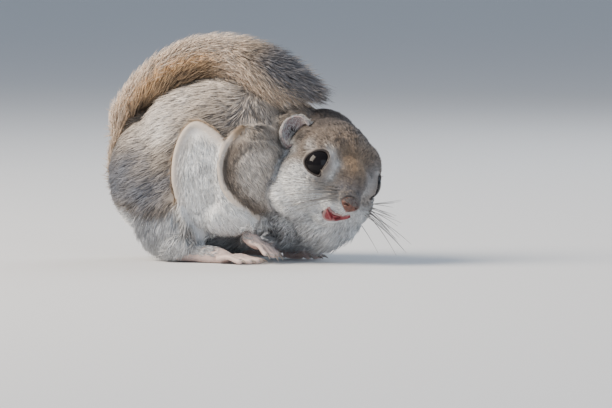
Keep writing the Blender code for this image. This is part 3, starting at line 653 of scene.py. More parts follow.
front_rim, front_run = rim_distance(skin_points, "front")
rear_rim, rear_run = rim_distance(skin_points, "rear")
rear_rim += 8.0 * ramp(-skin_points[:, 2], -24.0, -15.0)
rim_rise = rims["front", 1][::-1]
ahead_of_rim = body_points[:, 0] - np.interp(body_points[:, 2], rim_rise[:, 2], rim_rise[:, 0])
rear_line = rims["rear", 1]
crest = int(rear_line[:, 2].argmax())
rear_rise, rear_top = rear_line[crest:][::-1], rear_line[: crest + 1][::-1]
behind_pad = np.interp(body_points[:, 2], rear_rise[:, 2], rear_rise[:, 0])
above_pad = np.interp(body_points[:, 0], rear_top[:, 0], rear_top[:, 2])
inside = ramp(body_points[:, 0] - behind_pad, -0.5, 0.3) * ramp(above_pad - body_points[:, 2], -0.5, 0.3)
pad_share = np.maximum(inside, ramp(-body_points[:, 2], -17.0, -14.0))
pad_marks = lay(body_marks, (PALE, 0.97 * pad_share))
outside_pad = on_pad * (1.0 - inside)
region_marks = (
    (body_marks, on_torso + on_rump + on_thigh),
    (head_marks, on_head),
    (neck_marks, on_neck),
    (sleeve_marks, on_arm + on_sleeve),
    (pad_marks, on_pad),
    (tail_marks, on_tail),
)
marks = sum(kind * share[:, None] for kind, share in region_marks)
# Painted shade: a dark band on the sleeve side of the front rim, where the flap dips behind the rim,
# fading out towards the top
shade_behind_front_rim = ramp(ahead_of_rim, 0.2, 1.0) * (1 - on_head)
shade_behind_front_rim *= ramp(-skin_points[:, 2], -46.5, -40.0)
spur = near(body_points, mirror_body(on_hide(SPUR_SPOT)[None, :])[0], 3.6)
marks = lay(
    marks,
    # Painted shade: a tan-brown band just outside the rear rim, on the body side of it
    ((0.45, 0.6, 0, 0), 0.75 * ramp(-rear_rim, -3.6, -1.2) * (1 - inside)),
    ((0, 0.6, 0.4, 0), 0.6 * ramp(-rear_rim, -5.0, -1.2) * inside),
    ((0, 0.55, 0.45, 0), 0.9 * ramp(-rear_rim, -1.5, -0.9)),
    # Painted shade behind the front rim, on the sleeve side
    ((0.8, 0.2, 0, 0.2), 0.9 * ramp(-front_rim, -7.5, -1.8) * shade_behind_front_rim),
    ((0.08, 0.5, 0.42, 0), ramp(-front_rim, -1.5, -1.0)),
    ((0.55, 0.45, 0, 0), np.clip(1.3 * spur, 0.0, 0.95) * ramp(-front_rim, -2.0, -1.2)),
)
marks = paint(marks, skin_points, np.asarray, ONE_SIDE_MARKINGS)


def store(mesh, name, values):
    attribute = mesh.attributes.new(name, "FLOAT_COLOR", "POINT")
    attribute.data.foreach_set("color", np.ascontiguousarray(values, dtype=np.float32).reshape(-1))


store(skin.data, "marking", marks)
store(skin.data, "strand", np.tile((0.5, 0.3, 0.0, 1.0), (len(skin_points), 1)))


# Coat colours
# One shared group turns the markings into colour, darker and greyer at the root of a tuft and
# pale at its tip, with each strand a little different.
COAT_COLOURS = {
    "grey brown": (0.300, 0.262, 0.228, 1.0),
    "dark": (0.030, 0.023, 0.020, 1.0),
    "buff": (0.680, 0.425, 0.205, 1.0),
    "pale": (0.870, 0.880, 0.885, 1.0),
    "slate": (0.135, 0.160, 0.212, 1.0),
}
SHADE_RANGE = (0.56, 1.40)
TONE_RANGE = (0.55, 1.42)
GRAIN_SCALE = 900.0
GRAIN_BASE = 0.82
COAT_GRAIN = 0.36


def add_node(tree, kind, inputs, **settings):
    return wire(tree, set_up(tree.nodes.new("ShaderNode" + kind), **settings), inputs)


def mixed(tree, below, above, share):
    """Two colours mixed by a share."""
    inputs = {"Factor": share, "A": below, "B": above}
    return add_node(tree, "Mix", inputs, data_type="RGBA").outputs["Result"]


def arithmetic(tree, operation, *values):
    return add_node(tree, "Math", dict(enumerate(values)), operation=operation).outputs[0]


def stored(tree, name):
    """The four channels of a colour that the mesh carries."""
    colour = add_node(tree, "Attribute", {}, attribute_name=name)
    parts = add_node(tree, "SeparateColor", {"Color": colour.outputs["Color"]})
    return (*parts.outputs, colour.outputs["Alpha"])


def noise(tree, scale, detail):
    """The places of the object, and an even noise over them."""
    place = add_node(tree, "TexCoord", {}).outputs["Object"]
    inputs = {"Vector": place, "Scale": scale, "Detail": detail}
    return place, add_node(tree, "TexNoise", inputs).outputs["Fac"]


def bumped(tree, height, strength, distance):
    inputs = {"Height": height, "Strength": strength, "Distance": distance}
    return add_node(tree, "Bump", inputs).outputs["Normal"]


def node_group(name, inputs, outputs):
    """An empty node group with these sockets, its given values and its result."""
    group = bpy.data.node_groups.new(name, "ShaderNodeTree")
    for in_out, sockets in (("INPUT", inputs), ("OUTPUT", outputs)):
        for label, kind in sockets.items():
            group.interface.new_socket(label, in_out=in_out, socket_type="NodeSocket" + kind)
    return group, group.nodes.new("NodeGroupInput").outputs, group.nodes.new("NodeGroupOutput")


def coat_group():
    outputs = {"Colour": "Color", "Height": "Float"}
    group, given, result = node_group("coat colour", {"Grain": "Float"}, outputs)
    dark, buff, pale, slate = stored(group, "marking")
    tone, along, dark_tip, _ = stored(group, "strand")
    colour = mixed(group, COAT_COLOURS["grey brown"], COAT_COLOURS["slate"], slate)
    for name, share in (("buff", buff), ("pale", pale), ("dark", dark)):
        colour = mixed(group, colour, COAT_COLOURS[name], share)

    ranges = ((along, SHADE_RANGE), (tone, TONE_RANGE))
    shade, vary = (
        add_node(group, "MapRange", {"Value": value, "To Min": low, "To Max": high}).outputs["Result"]
        for value, (low, high) in ranges
    )
    _, grain = noise(group, GRAIN_SCALE, 3.0)
    uneven = arithmetic(group, "MULTIPLY_ADD", grain, given["Grain"], GRAIN_BASE)
    both = arithmetic(group, "MULTIPLY", shade, vary)
    light = arithmetic(group, "MULTIPLY", both, uneven)
    scaled = add_node(group, "VectorMath", {0: colour, "Scale": light}, operation="SCALE")
    tipped = mixed(group, scaled.outputs[0], COAT_COLOURS["dark"], dark_tip)
    wire(group, result, {"Colour": tipped, "Height": grain})
    return group


coat_colour = coat_group()


def coat_material(name, roughness, sheen):
    material, shader = new_material(name)
    tree = material.node_tree
    coat = add_node(tree, "Group", {"Grain": COAT_GRAIN}, node_tree=coat_colour)
    inputs = {
        "Base Color": coat.outputs["Colour"],
        "Roughness": roughness,
        "Specular IOR Level": 0.25,
        "Sheen Weight": sheen,
        "Sheen Roughness": 0.5,
        "Normal": bumped(tree, coat.outputs["Height"], 0.35, 0.0003),
    }
    wire(tree, shader, inputs)
    return material


back_fur = coat_material("grey brown fur", 0.72, 0.06)
white_fur = coat_material("white underfur", 0.78, 0.10)
tail_fur = coat_material("tail fur", 0.7, 0.08)
skin.data.materials.append(back_fur)


# Coat
# Many thousand tapered tufts, rooted in the hide and laid back along the body: longest on the
# rump and flanks, short and fine on the face, all in meshes joined region by region.
TUFT_COUNT = 124000
TUFTS_IN_LOCK = 12
TUFT_TRIANGLES_IN_PIECE = 190000
BAKE_PATCH = 0.003
COAT_SEED = 23
FLOOR_GAP = 0.08
LENGTH_SPREAD, WIDTH_SPREAD, LIFT_SPREAD = (0.72, 1.2), (0.75, 1.25), (0.7, 1.35)
TUFT_BEND = 0.14
LONG_TUFT = ((0.0, 0.34, 0.7, 1.0), (0.75, 1.0, 0.7))
PAD_FAN_SPOT = (205, 66)

# Length and width of a tuft in mm, and how thickly the tufts stand
TUFTS = {
    "head": (2.6, 0.24, 10.0),
    "neck": (5.0, 0.34, 4.2),
    "torso": (6.0, 0.34, 4.2),
    "rump": (6.5, 0.36, 4.4),
    "thigh": (6.0, 0.30, 5.0),
    "foreleg": (4.2, 0.27, 6.0),
    "membrane_front": (3.6, 0.26, 7.5),
    "membrane_rear": (4.4, 0.23, 7.5),
    "tail": (10.6, 0.33, 18.0),
}


def unit(vectors):
    return vectors / np.maximum(np.linalg.norm(vectors, axis=1, keepdims=True), 1e-9)


def across_skin(vectors, normals):
    return unit(vectors - normals * (vectors * normals).sum(axis=1, keepdims=True))


side = np.sign(skin_points[:, 1:2])
head_side = np.sign(head_coordinates(skin_points)[:, 1:2])
ones = np.ones(len(skin_points))
fall = -0.15 - 0.5 * ramp(-head_points[:, 2], 0.0, 10.0)
head_lie = np.column_stack((-ones, 0.3 * head_side[:, 0], fall)) @ np.array(head_frame)[:3, :3].T
fan_place = mirror_body(on_hide(PAD_FAN_SPOT)[None, :])[0]
pad_lie = (body_points - fan_place) * np.column_stack((ones, side[:, 0], ones))
tail_lie = tail_headings + tail_flats * (tail_across * 0.75)[:, None]
shoulder = ramp(skin_points[:, 0], 0.0, 8.0)
region_lies = (
    ((-1.0, 0.0, -0.4), on_torso + on_rump),
    ((-0.25, 0.0, -1.0), on_thigh),
    ((-0.6, 0.0, -0.6), on_neck),
    ((0.3, 0.0, -0.9), on_arm),
    ((0.6, 0.0, -0.7), on_sleeve),
    ((1.1, 0.0, -0.9), on_torso * shoulder),
    (unit(pad_lie), on_pad * inside),
    ((-1.0, 0.0, -0.4), outside_pad),
    (unit(head_lie), on_head),
    (unit(tail_lie) * 1.2, on_tail),
)
lie = sum(np.array(run) * share[:, None] for run, share in region_lies)
breast = np.clip(on_neck + on_torso * ramp(skin_points[:, 0], -8.0, 2.0), 0.0, 1.0)
chest = ramp(-skin_points[:, 2], -14.0, -9.0) * breast
lie = across_skin(lie, skin_normals) + np.array((-0.2, 0.0, -1.2)) * chest[:, None]
for rim, run in ((front_rim, front_run), (rear_rim, rear_run)):
    lie += 2.5 * run * ramp(-rim, -2.0, -1.0)[:, None]
lie = across_skin(lie, skin_normals)

tuft_length, tuft_width, density = (
    region_share @ np.array([TUFTS[name][column] for name in REGIONS]) for column in range(3)
)
muzzle = ramp(head_points[:, 0], 4.0, 18.0) * on_head
tuft_length *= 1.0 - 0.45 * muzzle
tuft_width *= 1.0 - 0.35 * muzzle
tuft_length *= 1.0 + 0.6 * ramp(-head_points[:, 2], 6.0, 14.0) * on_head
tail_tip = ramp(tail_along, 8.0, 10.4) * on_tail
tuft_length *= 1.0 + 0.15 * tail_tip
tuft_length *= 1.0 + 0.3 * ramp(-tail_above, 0.2, 0.9) * on_tail
tuft_length *= 1.0 + 0.25 * ramp(-tail_across, 0.3, 0.9) * toward_tip * on_tail
tuft_length *= 1.0 + 1.1 * chest
any_rim = np.minimum(front_rim, rear_rim)
tuft_length *= 1.0 - 0.25 * ramp(-any_rim, -2.6, -1.6)
tuft_length *= 1.0 - 0.72 * ramp(-any_rim, -1.5, -0.9)
tuft_width *= 1.0 - 0.4 * ramp(-any_rim, -1.7, -0.9)
density = density * (1.0 + 0.5 * muzzle) * (1.0 + 0.8 * chest)
distance_to_eye = np.linalg.norm(head_points - np.array(EYE_CENTRE), axis=1)
density *= ramp(distance_to_eye, EYE_RADIUS + 0.7, EYE_RADIUS + 1.6)
from_mouth = np.hypot(head_points[:, 1] / 4.4, (head_points[:, 2] - MOUTH.z + 0.6) / 2.8)
density *= np.maximum(ramp(from_mouth, 0.85, 1.2), ramp(-head_points[:, 0], -9.0, -8.0))
density *= 1.0 - ramp(near(head_points, NOSE_TIP - Vector((0.0, 0.0, 0.6)), 3.0), 0.35, 0.7)
lift = 0.32 + 0.1 * (on_neck + on_head) - 0.1 * on_pad
lift *= 1.0 - 0.6 * ramp(-any_rim, -2.4, -1.0)
lift -= 0.08 * on_thigh
lift += on_tail * (0.22 + 0.3 * ramp(np.abs(tail_above), 0.3, 0.9))

# The values of a hair that are more than one number
COLUMNS = {"lie": (3,), "marking": (4,)}


def tufts_on(mesh, chance, count, hair):
    """Tufts rooted at random places of a mesh, leaning together into small locks."""
    vertices = len(mesh.vertices)
    mesh.calc_loop_triangles()
    triangles = len(mesh.loop_triangles)
    corners, loops = np.empty((2, triangles * 3), dtype=np.int64)
    mesh.loop_triangles.foreach_get("vertices", corners)
    mesh.loop_triangles.foreach_get("loops", loops)
    corners, loops = corners.reshape(-1, 3), loops.reshape(-1, 3)
    uvs = np.empty(len(mesh.loops) * 2)
    mesh.uv_layers["OFBake"].data.foreach_get("uv", uvs)
    spots = (points_of(mesh) / MM)[corners]
    areas = np.linalg.norm(np.cross(spots[:, 1] - spots[:, 0], spots[:, 2] - spots[:, 0]), axis=1)
    chances = areas * chance[corners].mean(axis=1)
    chosen = dice.choice(triangles, count, p=chances / chances.sum())
    corners, loops = corners[chosen], loops[chosen]
    weights = dice.dirichlet((1.0, 1.0, 1.0), count)

    def at_roots(picked):
        return (picked * (weights if picked.ndim == 2 else weights[:, :, None])).sum(axis=1)

    def hair_at_roots(key):
        return at_roots(np.broadcast_to(hair[key], (vertices, *COLUMNS.get(key, ())))[corners])

    points = at_roots(spots[chosen])
    normals = unit(at_roots(normals_of(mesh)[corners]))
    lengths = hair_at_roots("length") * dice.uniform(*LENGTH_SPREAD, count)
    lock_count = count // TUFTS_IN_LOCK
    lock_tree = KDTree(lock_count)
    for index in range(lock_count):
        lock_tree.insert(points[index], index)
    lock_tree.balance()
    lock = np.array([lock_tree.find(point)[1] for point in points])
    pulls = points[lock] - points
    pulls -= normals * (pulls * normals).sum(axis=1, keepdims=True)
    reach = np.maximum(np.linalg.norm(pulls, axis=1), 1e-6)
    pulls *= (np.minimum(1.0, 0.3 * lengths / reach) * hair_at_roots("gather"))[:, None]
    return {
        "root": points,
        "normal": normals,
        "lie": across_skin(hair_at_roots("lie"), normals),
        "length": lengths,
        "width": hair_at_roots("width") * dice.uniform(*WIDTH_SPREAD, count),
        "lift": hair_at_roots("lift") * dice.uniform(*LIFT_SPREAD, count),
        "sunk": hair_at_roots("sunk"),
        "marking": hair_at_roots("marking"),
        "dark": hair_at_roots("dark"),
        "pull": pulls,
        "tone": 0.5 * dice.random(lock_count)[lock] + 0.5 * dice.random(count),
        "uv": at_roots(uvs.reshape(-1, 2)[loops]),
        "corner": corners,
    }


def tuft_mesh(name, tufts, stations=(0.0, 0.5, 1.0), fullness=(0.85, 1.0)):
    """One mesh of tapered three-sided tufts that rise from their roots and bend down along the lie."""
    count = len(tufts["root"])
    normals, lengths = tufts["normal"], tufts["length"]
    sides = np.cross(normals, tufts["lie"])
    bend = dice.normal(0.0, TUFT_BEND, count)[:, None]
    heading = unit(tufts["lie"] + sides * bend)
    sides = np.cross(normals, heading)
    spine = tufts["root"] - normals * tufts["sunk"][:, None]
    last = 0.0
    points = []
    for station, full in zip(stations, fullness + (0.0,)):
        rise = tufts["lift"] * (1.5 - 1.35 * station)
        step = heading * np.cos(rise)[:, None] + normals * np.sin(rise)[:, None]
        spine = spine + step * (lengths * (station - last))[:, None]
        centre = spine + tufts["pull"] * station**1.3
        last = station
        if full == 0.0:
            points.append(centre)
        else:
            half = (tufts["width"] * full / 2)[:, None]
            points += [centre - sides * half, centre + sides * half, centre + normals * half * 0.8]
    corners = len(points)
    points = np.stack(points, axis=1).reshape(-1, 3)
    points[:, 2] = np.maximum(points[:, 2], FLOOR_GAP)
    points *= MM
    faces = [(0, 2, 1)]
    for ring in range(0, corners - 4, 3):
        for near_one, far_one in ((0, 1), (1, 2), (2, 0)):
            faces.append((ring + near_one, ring + far_one, ring + far_one + 3))
            faces.append((ring + near_one, ring + far_one + 3, ring + near_one + 3))
    top = corners - 4
    faces += [(top, top + 1, top + 3), (top + 1, top + 2, top + 3), (top + 2, top, top + 3)]
    faces = np.array(faces)
    all_faces = (faces[None, :, :] + (np.arange(count) * corners)[:, None, None]).reshape(-1, 3)
    mesh = bpy.data.meshes.new(name)
    mesh.vertices.add(len(points))
    mesh.loops.add(all_faces.size)
    mesh.polygons.add(len(all_faces))
    mesh.vertices.foreach_set("co", points.reshape(-1))
    mesh.loops.foreach_set("vertex_index", all_faces.reshape(-1))
    mesh.polygons.foreach_set("loop_start", np.arange(0, all_faces.size, 3))
    mesh.update(calc_edges=True)
    mesh.polygons.foreach_set("use_smooth", np.ones(len(all_faces), dtype=bool))
    along = np.append(np.repeat(stations[:-1], 3), 1.0)
    dark_tip = (dice.random(count) < tufts["dark"]) * 1.0
    strand = np.ones((count, corners, 4))
    strand[:, :, 0] = tufts["tone"][:, None]
    strand[:, :, 1] = along[None, :]
    strand[:, :, 2] = dark_tip[:, None] * np.clip(along - 0.4, 0.0, 1.0)[None, :] * 0.9
    store(mesh, "strand", strand.reshape(-1, 4))
    store(mesh, "marking", np.repeat(tufts["marking"], corners, axis=0))
    patch = np.column_stack((np.append(np.tile((0.2, 0.8, 0.5), corners // 3), 0.5), along))
    patch = (patch - 0.5) * BAKE_PATCH
    tuft_uv = (tufts["uv"][:, None, :] + patch[None, :, :]).reshape(-1, 2)
    layer = mesh.uv_layers.new(name="OFBake")
    layer.data.foreach_set("uv", tuft_uv[all_faces.reshape(-1)].reshape(-1))
    return linked(name, mesh)


dice = np.random.default_rng(COAT_SEED)
clumps = 1.0
for wave in ((1.9, 0.7, 1.3), (-0.8, 2.1, 1.1), (0.5, -1.2, 2.3)):
    clumps = clumps * np.sin(skin_points @ np.array(wave))
dark_share = 0.05 + 0.65 * ramp(clumps, 0.1, 0.6) * (on_torso + on_rump)
dark_share += 0.25 * on_tail * toward_tip
dark_share += 0.12 * on_head + 0.1 * on_sleeve
dark_share *= 1.0 - marks[:, 2] * 0.7
hair = {
    "length": tuft_length,
    "width": tuft_width,
    "lift": lift,
    "sunk": 0.35 - 0.2 * (on_head + on_pad + on_sleeve),
    "lie": lie,
    "marking": marks,
    "dark": dark_share,
    "gather": 0.85 - 0.4 * (on_head + on_arm + on_sleeve) - 0.65 * on_pad,
}
coat = tufts_on(skin.data, density, TUFT_COUNT, hair)
root_region = region_share[coat["corner"]].sum(axis=1).argmax(axis=1)

COAT_PIECES = {
    "head": (("head",), back_fur, "fur_back"),
    "neck": (("neck",), white_fur, "fur_belly"),
    "back": (("torso",), back_fur, "fur_back"),
    "rump": (("rump", "thigh"), back_fur, "fur_back"),
    "arms": (("foreleg", "membrane_front"), back_fur, "fur_back"),
    "membrane": (("membrane_rear",), white_fur, "fur_belly"),
    "tail": (("tail",), tail_fur, "fur_tail"),
}
for label, (regions, material, slot) in COAT_PIECES.items():
    belongs = np.isin(root_region, [REGIONS.index(name) for name in regions])
    picked = np.flatnonzero(belongs)
    shape = LONG_TUFT if label == "tail" else ()
    triangles = 16 if label == "tail" else 10
    batches = max(1, math.ceil(len(picked) * triangles / TUFT_TRIANGLES_IN_PIECE))
    for batch, members in enumerate(np.array_split(picked, batches)):
        tufts = {key: coat[key][members] for key in coat}
        part = tuft_mesh(f"coat_{label}_{batch + 1}", tufts, *shape)
        part.data.materials.append(material)
        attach(part, "root")


# Eyes
# Two large, very dark, wet eyeballs that sit deep behind the lids, each a smooth glossy ball
# with a faint mottle that only shows in strong light.
EYE_COLOUR = (0.004, 0.004, 0.005, 1.0)
EYE_MOTTLE_COLOUR = (0.010, 0.008, 0.009, 1.0)
EYE_GLOSS = {"Roughness": 0.04, "IOR": 1.33, "Specular IOR Level": 0.25}

eye_material, eye_shader = new_material("wet dark eye")
eye_tree = eye_material.node_tree
eye_colour = mixed(eye_tree, EYE_COLOUR, EYE_MOTTLE_COLOUR, noise(eye_tree, 420.0, 4.0)[1])
wire(eye_tree, eye_shader, {"Base Color": eye_colour, **EYE_GLOSS})


def ball(name, sides, steps, radius, middle):
    """A ball made ring by ring from below. Blender's own sphere orders its faces anew each run."""
    rings = []
    for step in range(steps + 1):
        slope = math.pi * step / steps
        turns = [2 * math.pi * side / sides for side in range(sides if 0 < step < steps else 1)]
        outwards = [
            (math.sin(slope) * math.cos(turn), math.sin(slope) * math.sin(turn), -math.cos(slope))
            for turn in turns
        ]
        rings.append([middle + Vector(outward) * radius for outward in outwards])
    return ringed(name, rings, False)


def joined(name, objects):
    """One smooth object of this name, made of these."""
    select_only(*objects)
    if len(objects) > 1:
        bpy.ops.object.join()
    whole = bpy.context.object
    whole.name = name
    whole.data.name = name
    bpy.ops.object.shade_smooth()
    return whole


for node in ("eye_l", "eye_r"):
    low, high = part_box(node)
    eyeball = ball("eyeball" + node[-2:], 48, 32, EYE_RADIUS * MM, (low + high) / 2)
    eyeball = joined("eyeball" + node[-2:], [eyeball])
    eyeball.data.materials.append(eye_material)
    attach(eyeball, "root")
    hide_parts(node)


# Lid rims
# The bare black edge of the lids, a thin moist roll of skin that frames each eye. It is one
# closed strand, laid on the eyeball along the opening and half sunk in the hide.
EYE_AIM = Vector((0.50, 0.85, 0.16))
EYE_OPENING = (
    (-4.8, -1.6), (-3.4, 1.9), (-1.5, 4.5), (0.7, 5.3), (2.9, 4.3), (4.1, 2.0), (4.2, -1.2),
    (4.4, -3.3), (2.4, -4.2), (-0.9, -4.4), (-3.7, -3.4),
)
RIM_RADIUS = 0.5
RIM_LIFT = 0.45
RIM_COLOUR = (0.012, 0.009, 0.008, 1.0)
CREASES_TO_MOTTLE = 2.2
CREASE_DEPTH = 0.0002


def bare_skin_group():
    """Bare skin: two tones in a fine mottle, with small creases."""
    inputs = {"Colour": "Color", "Spots": "Color", "Scale": "Float"}
    group, given, result = node_group("bare skin", inputs, {"Colour": "Color", "Creases": "Float"})
    place, mottle = noise(group, given["Scale"], 5.0)
    finer = arithmetic(group, "MULTIPLY", given["Scale"], CREASES_TO_MOTTLE)
    creases = add_node(group, "TexVoronoi", {"Vector": place, "Scale": finer})
    tones = mixed(group, given["Colour"], given["Spots"], mottle)
    wire(group, result, {"Colour": tones, "Creases": creases.outputs["Distance"]})
    return group


bare_skin = bare_skin_group()


def bare_material(name, colour, spot_colour, roughness, scale, crease_strength):
    material, shader = new_material(name)
    tree = material.node_tree
    tones = {"Colour": colour, "Spots": spot_colour, "Scale": scale}
    surface = add_node(tree, "Group", tones, node_tree=bare_skin)
    inputs = {
        "Base Color": surface.outputs["Colour"],
        "Roughness": roughness,
        "Normal": bumped(tree, surface.outputs["Creases"], crease_strength, CREASE_DEPTH),
    }
    wire(tree, shader, inputs)
    return material


def mirrored_across(vector, sign):
    """This place of the left side, or its like on the right if the sign is negative."""
    return Vector((vector[0], vector[1] * sign, vector[2]))


rim_material = bare_material("lid rim", RIM_COLOUR, (0.03, 0.02, 0.018, 1.0), 0.6, 1500.0, 0.2)
for sign, suffix in ((1, "_l"), (-1, "_r")):
    aim = mirrored_across(EYE_AIM, sign).normalized()
    nasal = (Vector((1.0, 0.0, 0.0)) - aim * aim.x).normalized()
    upward = (Vector((0.0, 0.0, 1.0)) - aim * aim.z - nasal * nasal.z).normalized()
    rim_sphere = EYE_RADIUS + RIM_LIFT
    rim_points = []
    for across, up in EYE_OPENING:
        ray = aim * math.sqrt(rim_sphere**2 - across**2 - up**2) + nasal * across + upward * up
        rim_points.append(head_frame @ (mirrored_across(EYE_CENTRE, sign) + ray))
    ring = tube("lid_rim" + suffix, rim_points, [RIM_RADIUS] * len(rim_points), 3, cyclic=True)
    rim = joined("lid_rim" + suffix, [ring])
    rim.data.materials.append(rim_material)
    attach(rim, "root")


# Nose
# The small bare nose pad, reddish brown and moist, with comma-shaped nostrils that open to the
# sides and a shallow middle groove.
NOSE_CENTRE = Vector((23.3, 0.0, -4.2))
NOSE_RADII = (2.3, 3.5, 2.6)
NOSTRIL_LINE = ((1.7, -4.3), (2.3, -4.1), (2.9, -4.7))


def dark_marks_group():
    """A colour that turns dark where its mesh is marked, as painted shade in hollows and under the lip.
    """
    inputs = {"Colour": "Color", "Dark": "Color"}
    group, given, result = node_group("dark marks", inputs, {"Colour": "Color"})
    darkened = mixed(group, given["Colour"], given["Dark"], stored(group, "marking")[0])
    wire(group, result, {"Colour": darkened})
    return group


dark_marks = dark_marks_group()


def darkened_by_marking(material, dark_colour):
    tree = material.node_tree
    shader = tree.nodes["Principled BSDF"]
    tones = {"Colour": shader.inputs["Base Color"].links[0].from_socket, "Dark": dark_colour}
    marked = add_node(tree, "Group", tones, node_tree=dark_marks)
    wire(tree, shader, {"Base Color": marked.outputs["Colour"]})


nose_material = bare_material(
    "nose leather", (0.085, 0.030, 0.020, 1.0), (0.155, 0.062, 0.042, 1.0), 0.42, 1400.0, 0.45
)
darkened_by_marking(nose_material, (0.012, 0.007, 0.006, 1.0))
nose = ball("nose_pad", 96, 56, 1.0, Vector())
outward = points_of(nose.data)[:, (2, 1, 0)] * (1, 1, -1)
nose_points = outward * NOSE_RADII
below = -nose_points[:, 2]
nose_points[:, 1] *= 1.0 - 0.28 * ramp(below, -0.2, 2.2)
nose_points += np.array(NOSE_CENTRE)
slit = np.full(len(nose_points), 9.0)
for start, end in zip(NOSTRIL_LINE, NOSTRIL_LINE[1:]):
    run = np.subtract(end, start)
    spot = np.column_stack((np.abs(nose_points[:, 1]), nose_points[:, 2])) - start
    share = np.clip(spot @ run / (run @ run), 0.0, 1.0)
    slit = np.minimum(slit, np.linalg.norm(spot - share[:, None] * run, axis=1))
frontal = ramp(outward[:, 0], 0.2, 0.5)
pit = np.exp(-((slit / 0.30) ** 2)) * frontal
wing = np.exp(-(((slit - 0.9) / 0.45) ** 2)) * frontal
groove = np.exp(-((nose_points[:, 1] / 0.28) ** 2)) * ramp(below, -0.6, 0.4) * frontal
nose_points += outward * (0.12 * wing - 0.7 * pit - 0.25 * groove)[:, None]
from_head = np.array(head_frame)
set_points(nose.data, (nose_points @ from_head[:3, :3].T + from_head[:3, 3]) * MM)
nose = joined("nose_pad", [nose])
# Painted shade in the nostrils and, more faintly, in the middle groove
nostril_shade = np.zeros((len(nose_points), 4))
nostril_shade[:, 0] = np.clip(0.9 * pit + 0.3 * groove, 0.0, 1.0)
store(nose.data, "marking", nostril_shade)
nose.data.materials.append(nose_material)
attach(nose, "root")
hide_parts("nose")

# Fine hairs that grow down over the top of the pad and hide its upper edge
NOSE_TUFTS = 420
unwrap(nose)
furred = ramp(nose_points[:, 2] - NOSE_CENTRE.z, 0.7, 1.7)
furred *= ramp(nose_points[:, 0] - NOSE_CENTRE.x, -0.8, 0.0)
nose_hair = {
    "length": 1.1, "width": 0.2, "lift": 0.15, "sunk": 0.08, "dark": 0.1, "gather": 0.2,
    "lie": np.array(head_frame.to_3x3() @ Vector((0.8, 0.0, -0.7))),
    "marking": (0.4, 0.12, 0.0, 0.6),
}
nose_coat = tuft_mesh("coat_nose", tufts_on(nose.data, furred + 0.001, NOSE_TUFTS, nose_hair))
nose_coat.data.materials.append(back_fur)
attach(nose_coat, "root")


# Tongue and mouth
# The red tongue swells up behind the lower lip of the small open mouth and fills it, between
# narrow pink lips with the cleft of the upper lip above them.
LIP_RADIUS = 0.5
GAPE_HALF_WIDTH = 3.8
GAPE_MIDDLE = -1.2
GAPE_CORNERS, GAPE_TOP, GAPE_BOTTOM = 2.7, 0.9, -2.9
GAPE_TILT = 0.12
LIP_POINTS = 16
TONGUE_RINGS = 10
TONGUE_THICKNESS = 1.2


def before_face(across, up):
    """How far ahead the hide lies at this place of the face."""
    start = head_frame @ Vector((40.0, across, up))
    heading = head_frame.to_3x3() @ Vector((-1.0, 0.0, 0.0))
    return (head_frame.inverted() @ (skin_tree.ray_cast(start * MM, heading)[0] / MM)).x


def gape(turn, share=1.0):
    """A place on the outline of the open mouth, or within it, on the slope of the face."""
    across = GAPE_HALF_WIDTH * math.cos(turn)
    middle = GAPE_TOP if math.sin(turn) > 0 else GAPE_BOTTOM
    up = GAPE_CORNERS + (middle - GAPE_CORNERS) * abs(math.sin(turn)) + GAPE_TILT * across
    centre = (GAPE_TOP + GAPE_BOTTOM) / 2
    across, up = across * share, MOUTH.z + centre + (up - centre) * share
    slope = 21.0 + 1.05 * (up + 9.0) - 0.09 * across**2
    return Vector((max(slope, before_face(GAPE_MIDDLE + across, up)), GAPE_MIDDLE + across, up))


lip_material = bare_material(
    "lip", (0.28, 0.14, 0.135, 1.0), (0.43, 0.27, 0.255, 1.0), 0.5, 1100.0, 0.5
)
lip_points = [head_frame @ gape(2 * math.pi * step / LIP_POINTS) for step in range(LIP_POINTS)]
lips = joined("lips", [tube("lips", lip_points, [LIP_RADIUS] * LIP_POINTS, 3, cyclic=True)])
lips.data.materials.append(lip_material)
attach(lips, "root")

cleft_points = [
    head_frame @ Vector((before_face(0.0, up) + 0.05, 0.0, up)) for up in (-6.6, -7.6, -8.8, -9.9)
]
cleft = joined("lip_cleft", [tube("cleft", cleft_points, (0.3, 0.22, 0.2, 0.2), 2)])
cleft.data.materials.append(lip_material)
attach(cleft, "root")

tongue_material = bare_material(
    "wet mouth", (0.19, 0.022, 0.030, 1.0), (0.33, 0.066, 0.078, 1.0), 0.3, 900.0, 0.35
)
darkened_by_marking(tongue_material, (0.030, 0.006, 0.008, 1.0))
shadow = []
rings = []
for ring in range(TONGUE_RINGS + 1):
    share = 1.0 - ring / TONGUE_RINGS
    loop = []
    for step in range(LIP_POINTS * 3 if ring < TONGUE_RINGS else 1):
        turn = 2 * math.pi * step / (LIP_POINTS * 3)
        upper = float(ramp(share * math.sin(turn), 0.4, 0.95))
        place = gape(turn, share)
        place.x += 1.2 * (1.0 - share**2) * (1.0 - upper) - 0.5 * upper - 0.1
        loop.append((head_frame @ place) * MM)
        shadow.append(0.85 * upper)
    rings.append(loop)
tongue = ringed("tongue_soft", rings, False)
store(tongue.data, "marking", np.column_stack((shadow, np.zeros((len(shadow), 3)))))
modified(tongue, "SOLIDIFY", thickness=TONGUE_THICKNESS * MM, offset=-1.0)
tongue = joined("tongue_soft", [tongue])
tongue.data.materials.append(tongue_material)
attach(tongue, "root")
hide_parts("tongue")


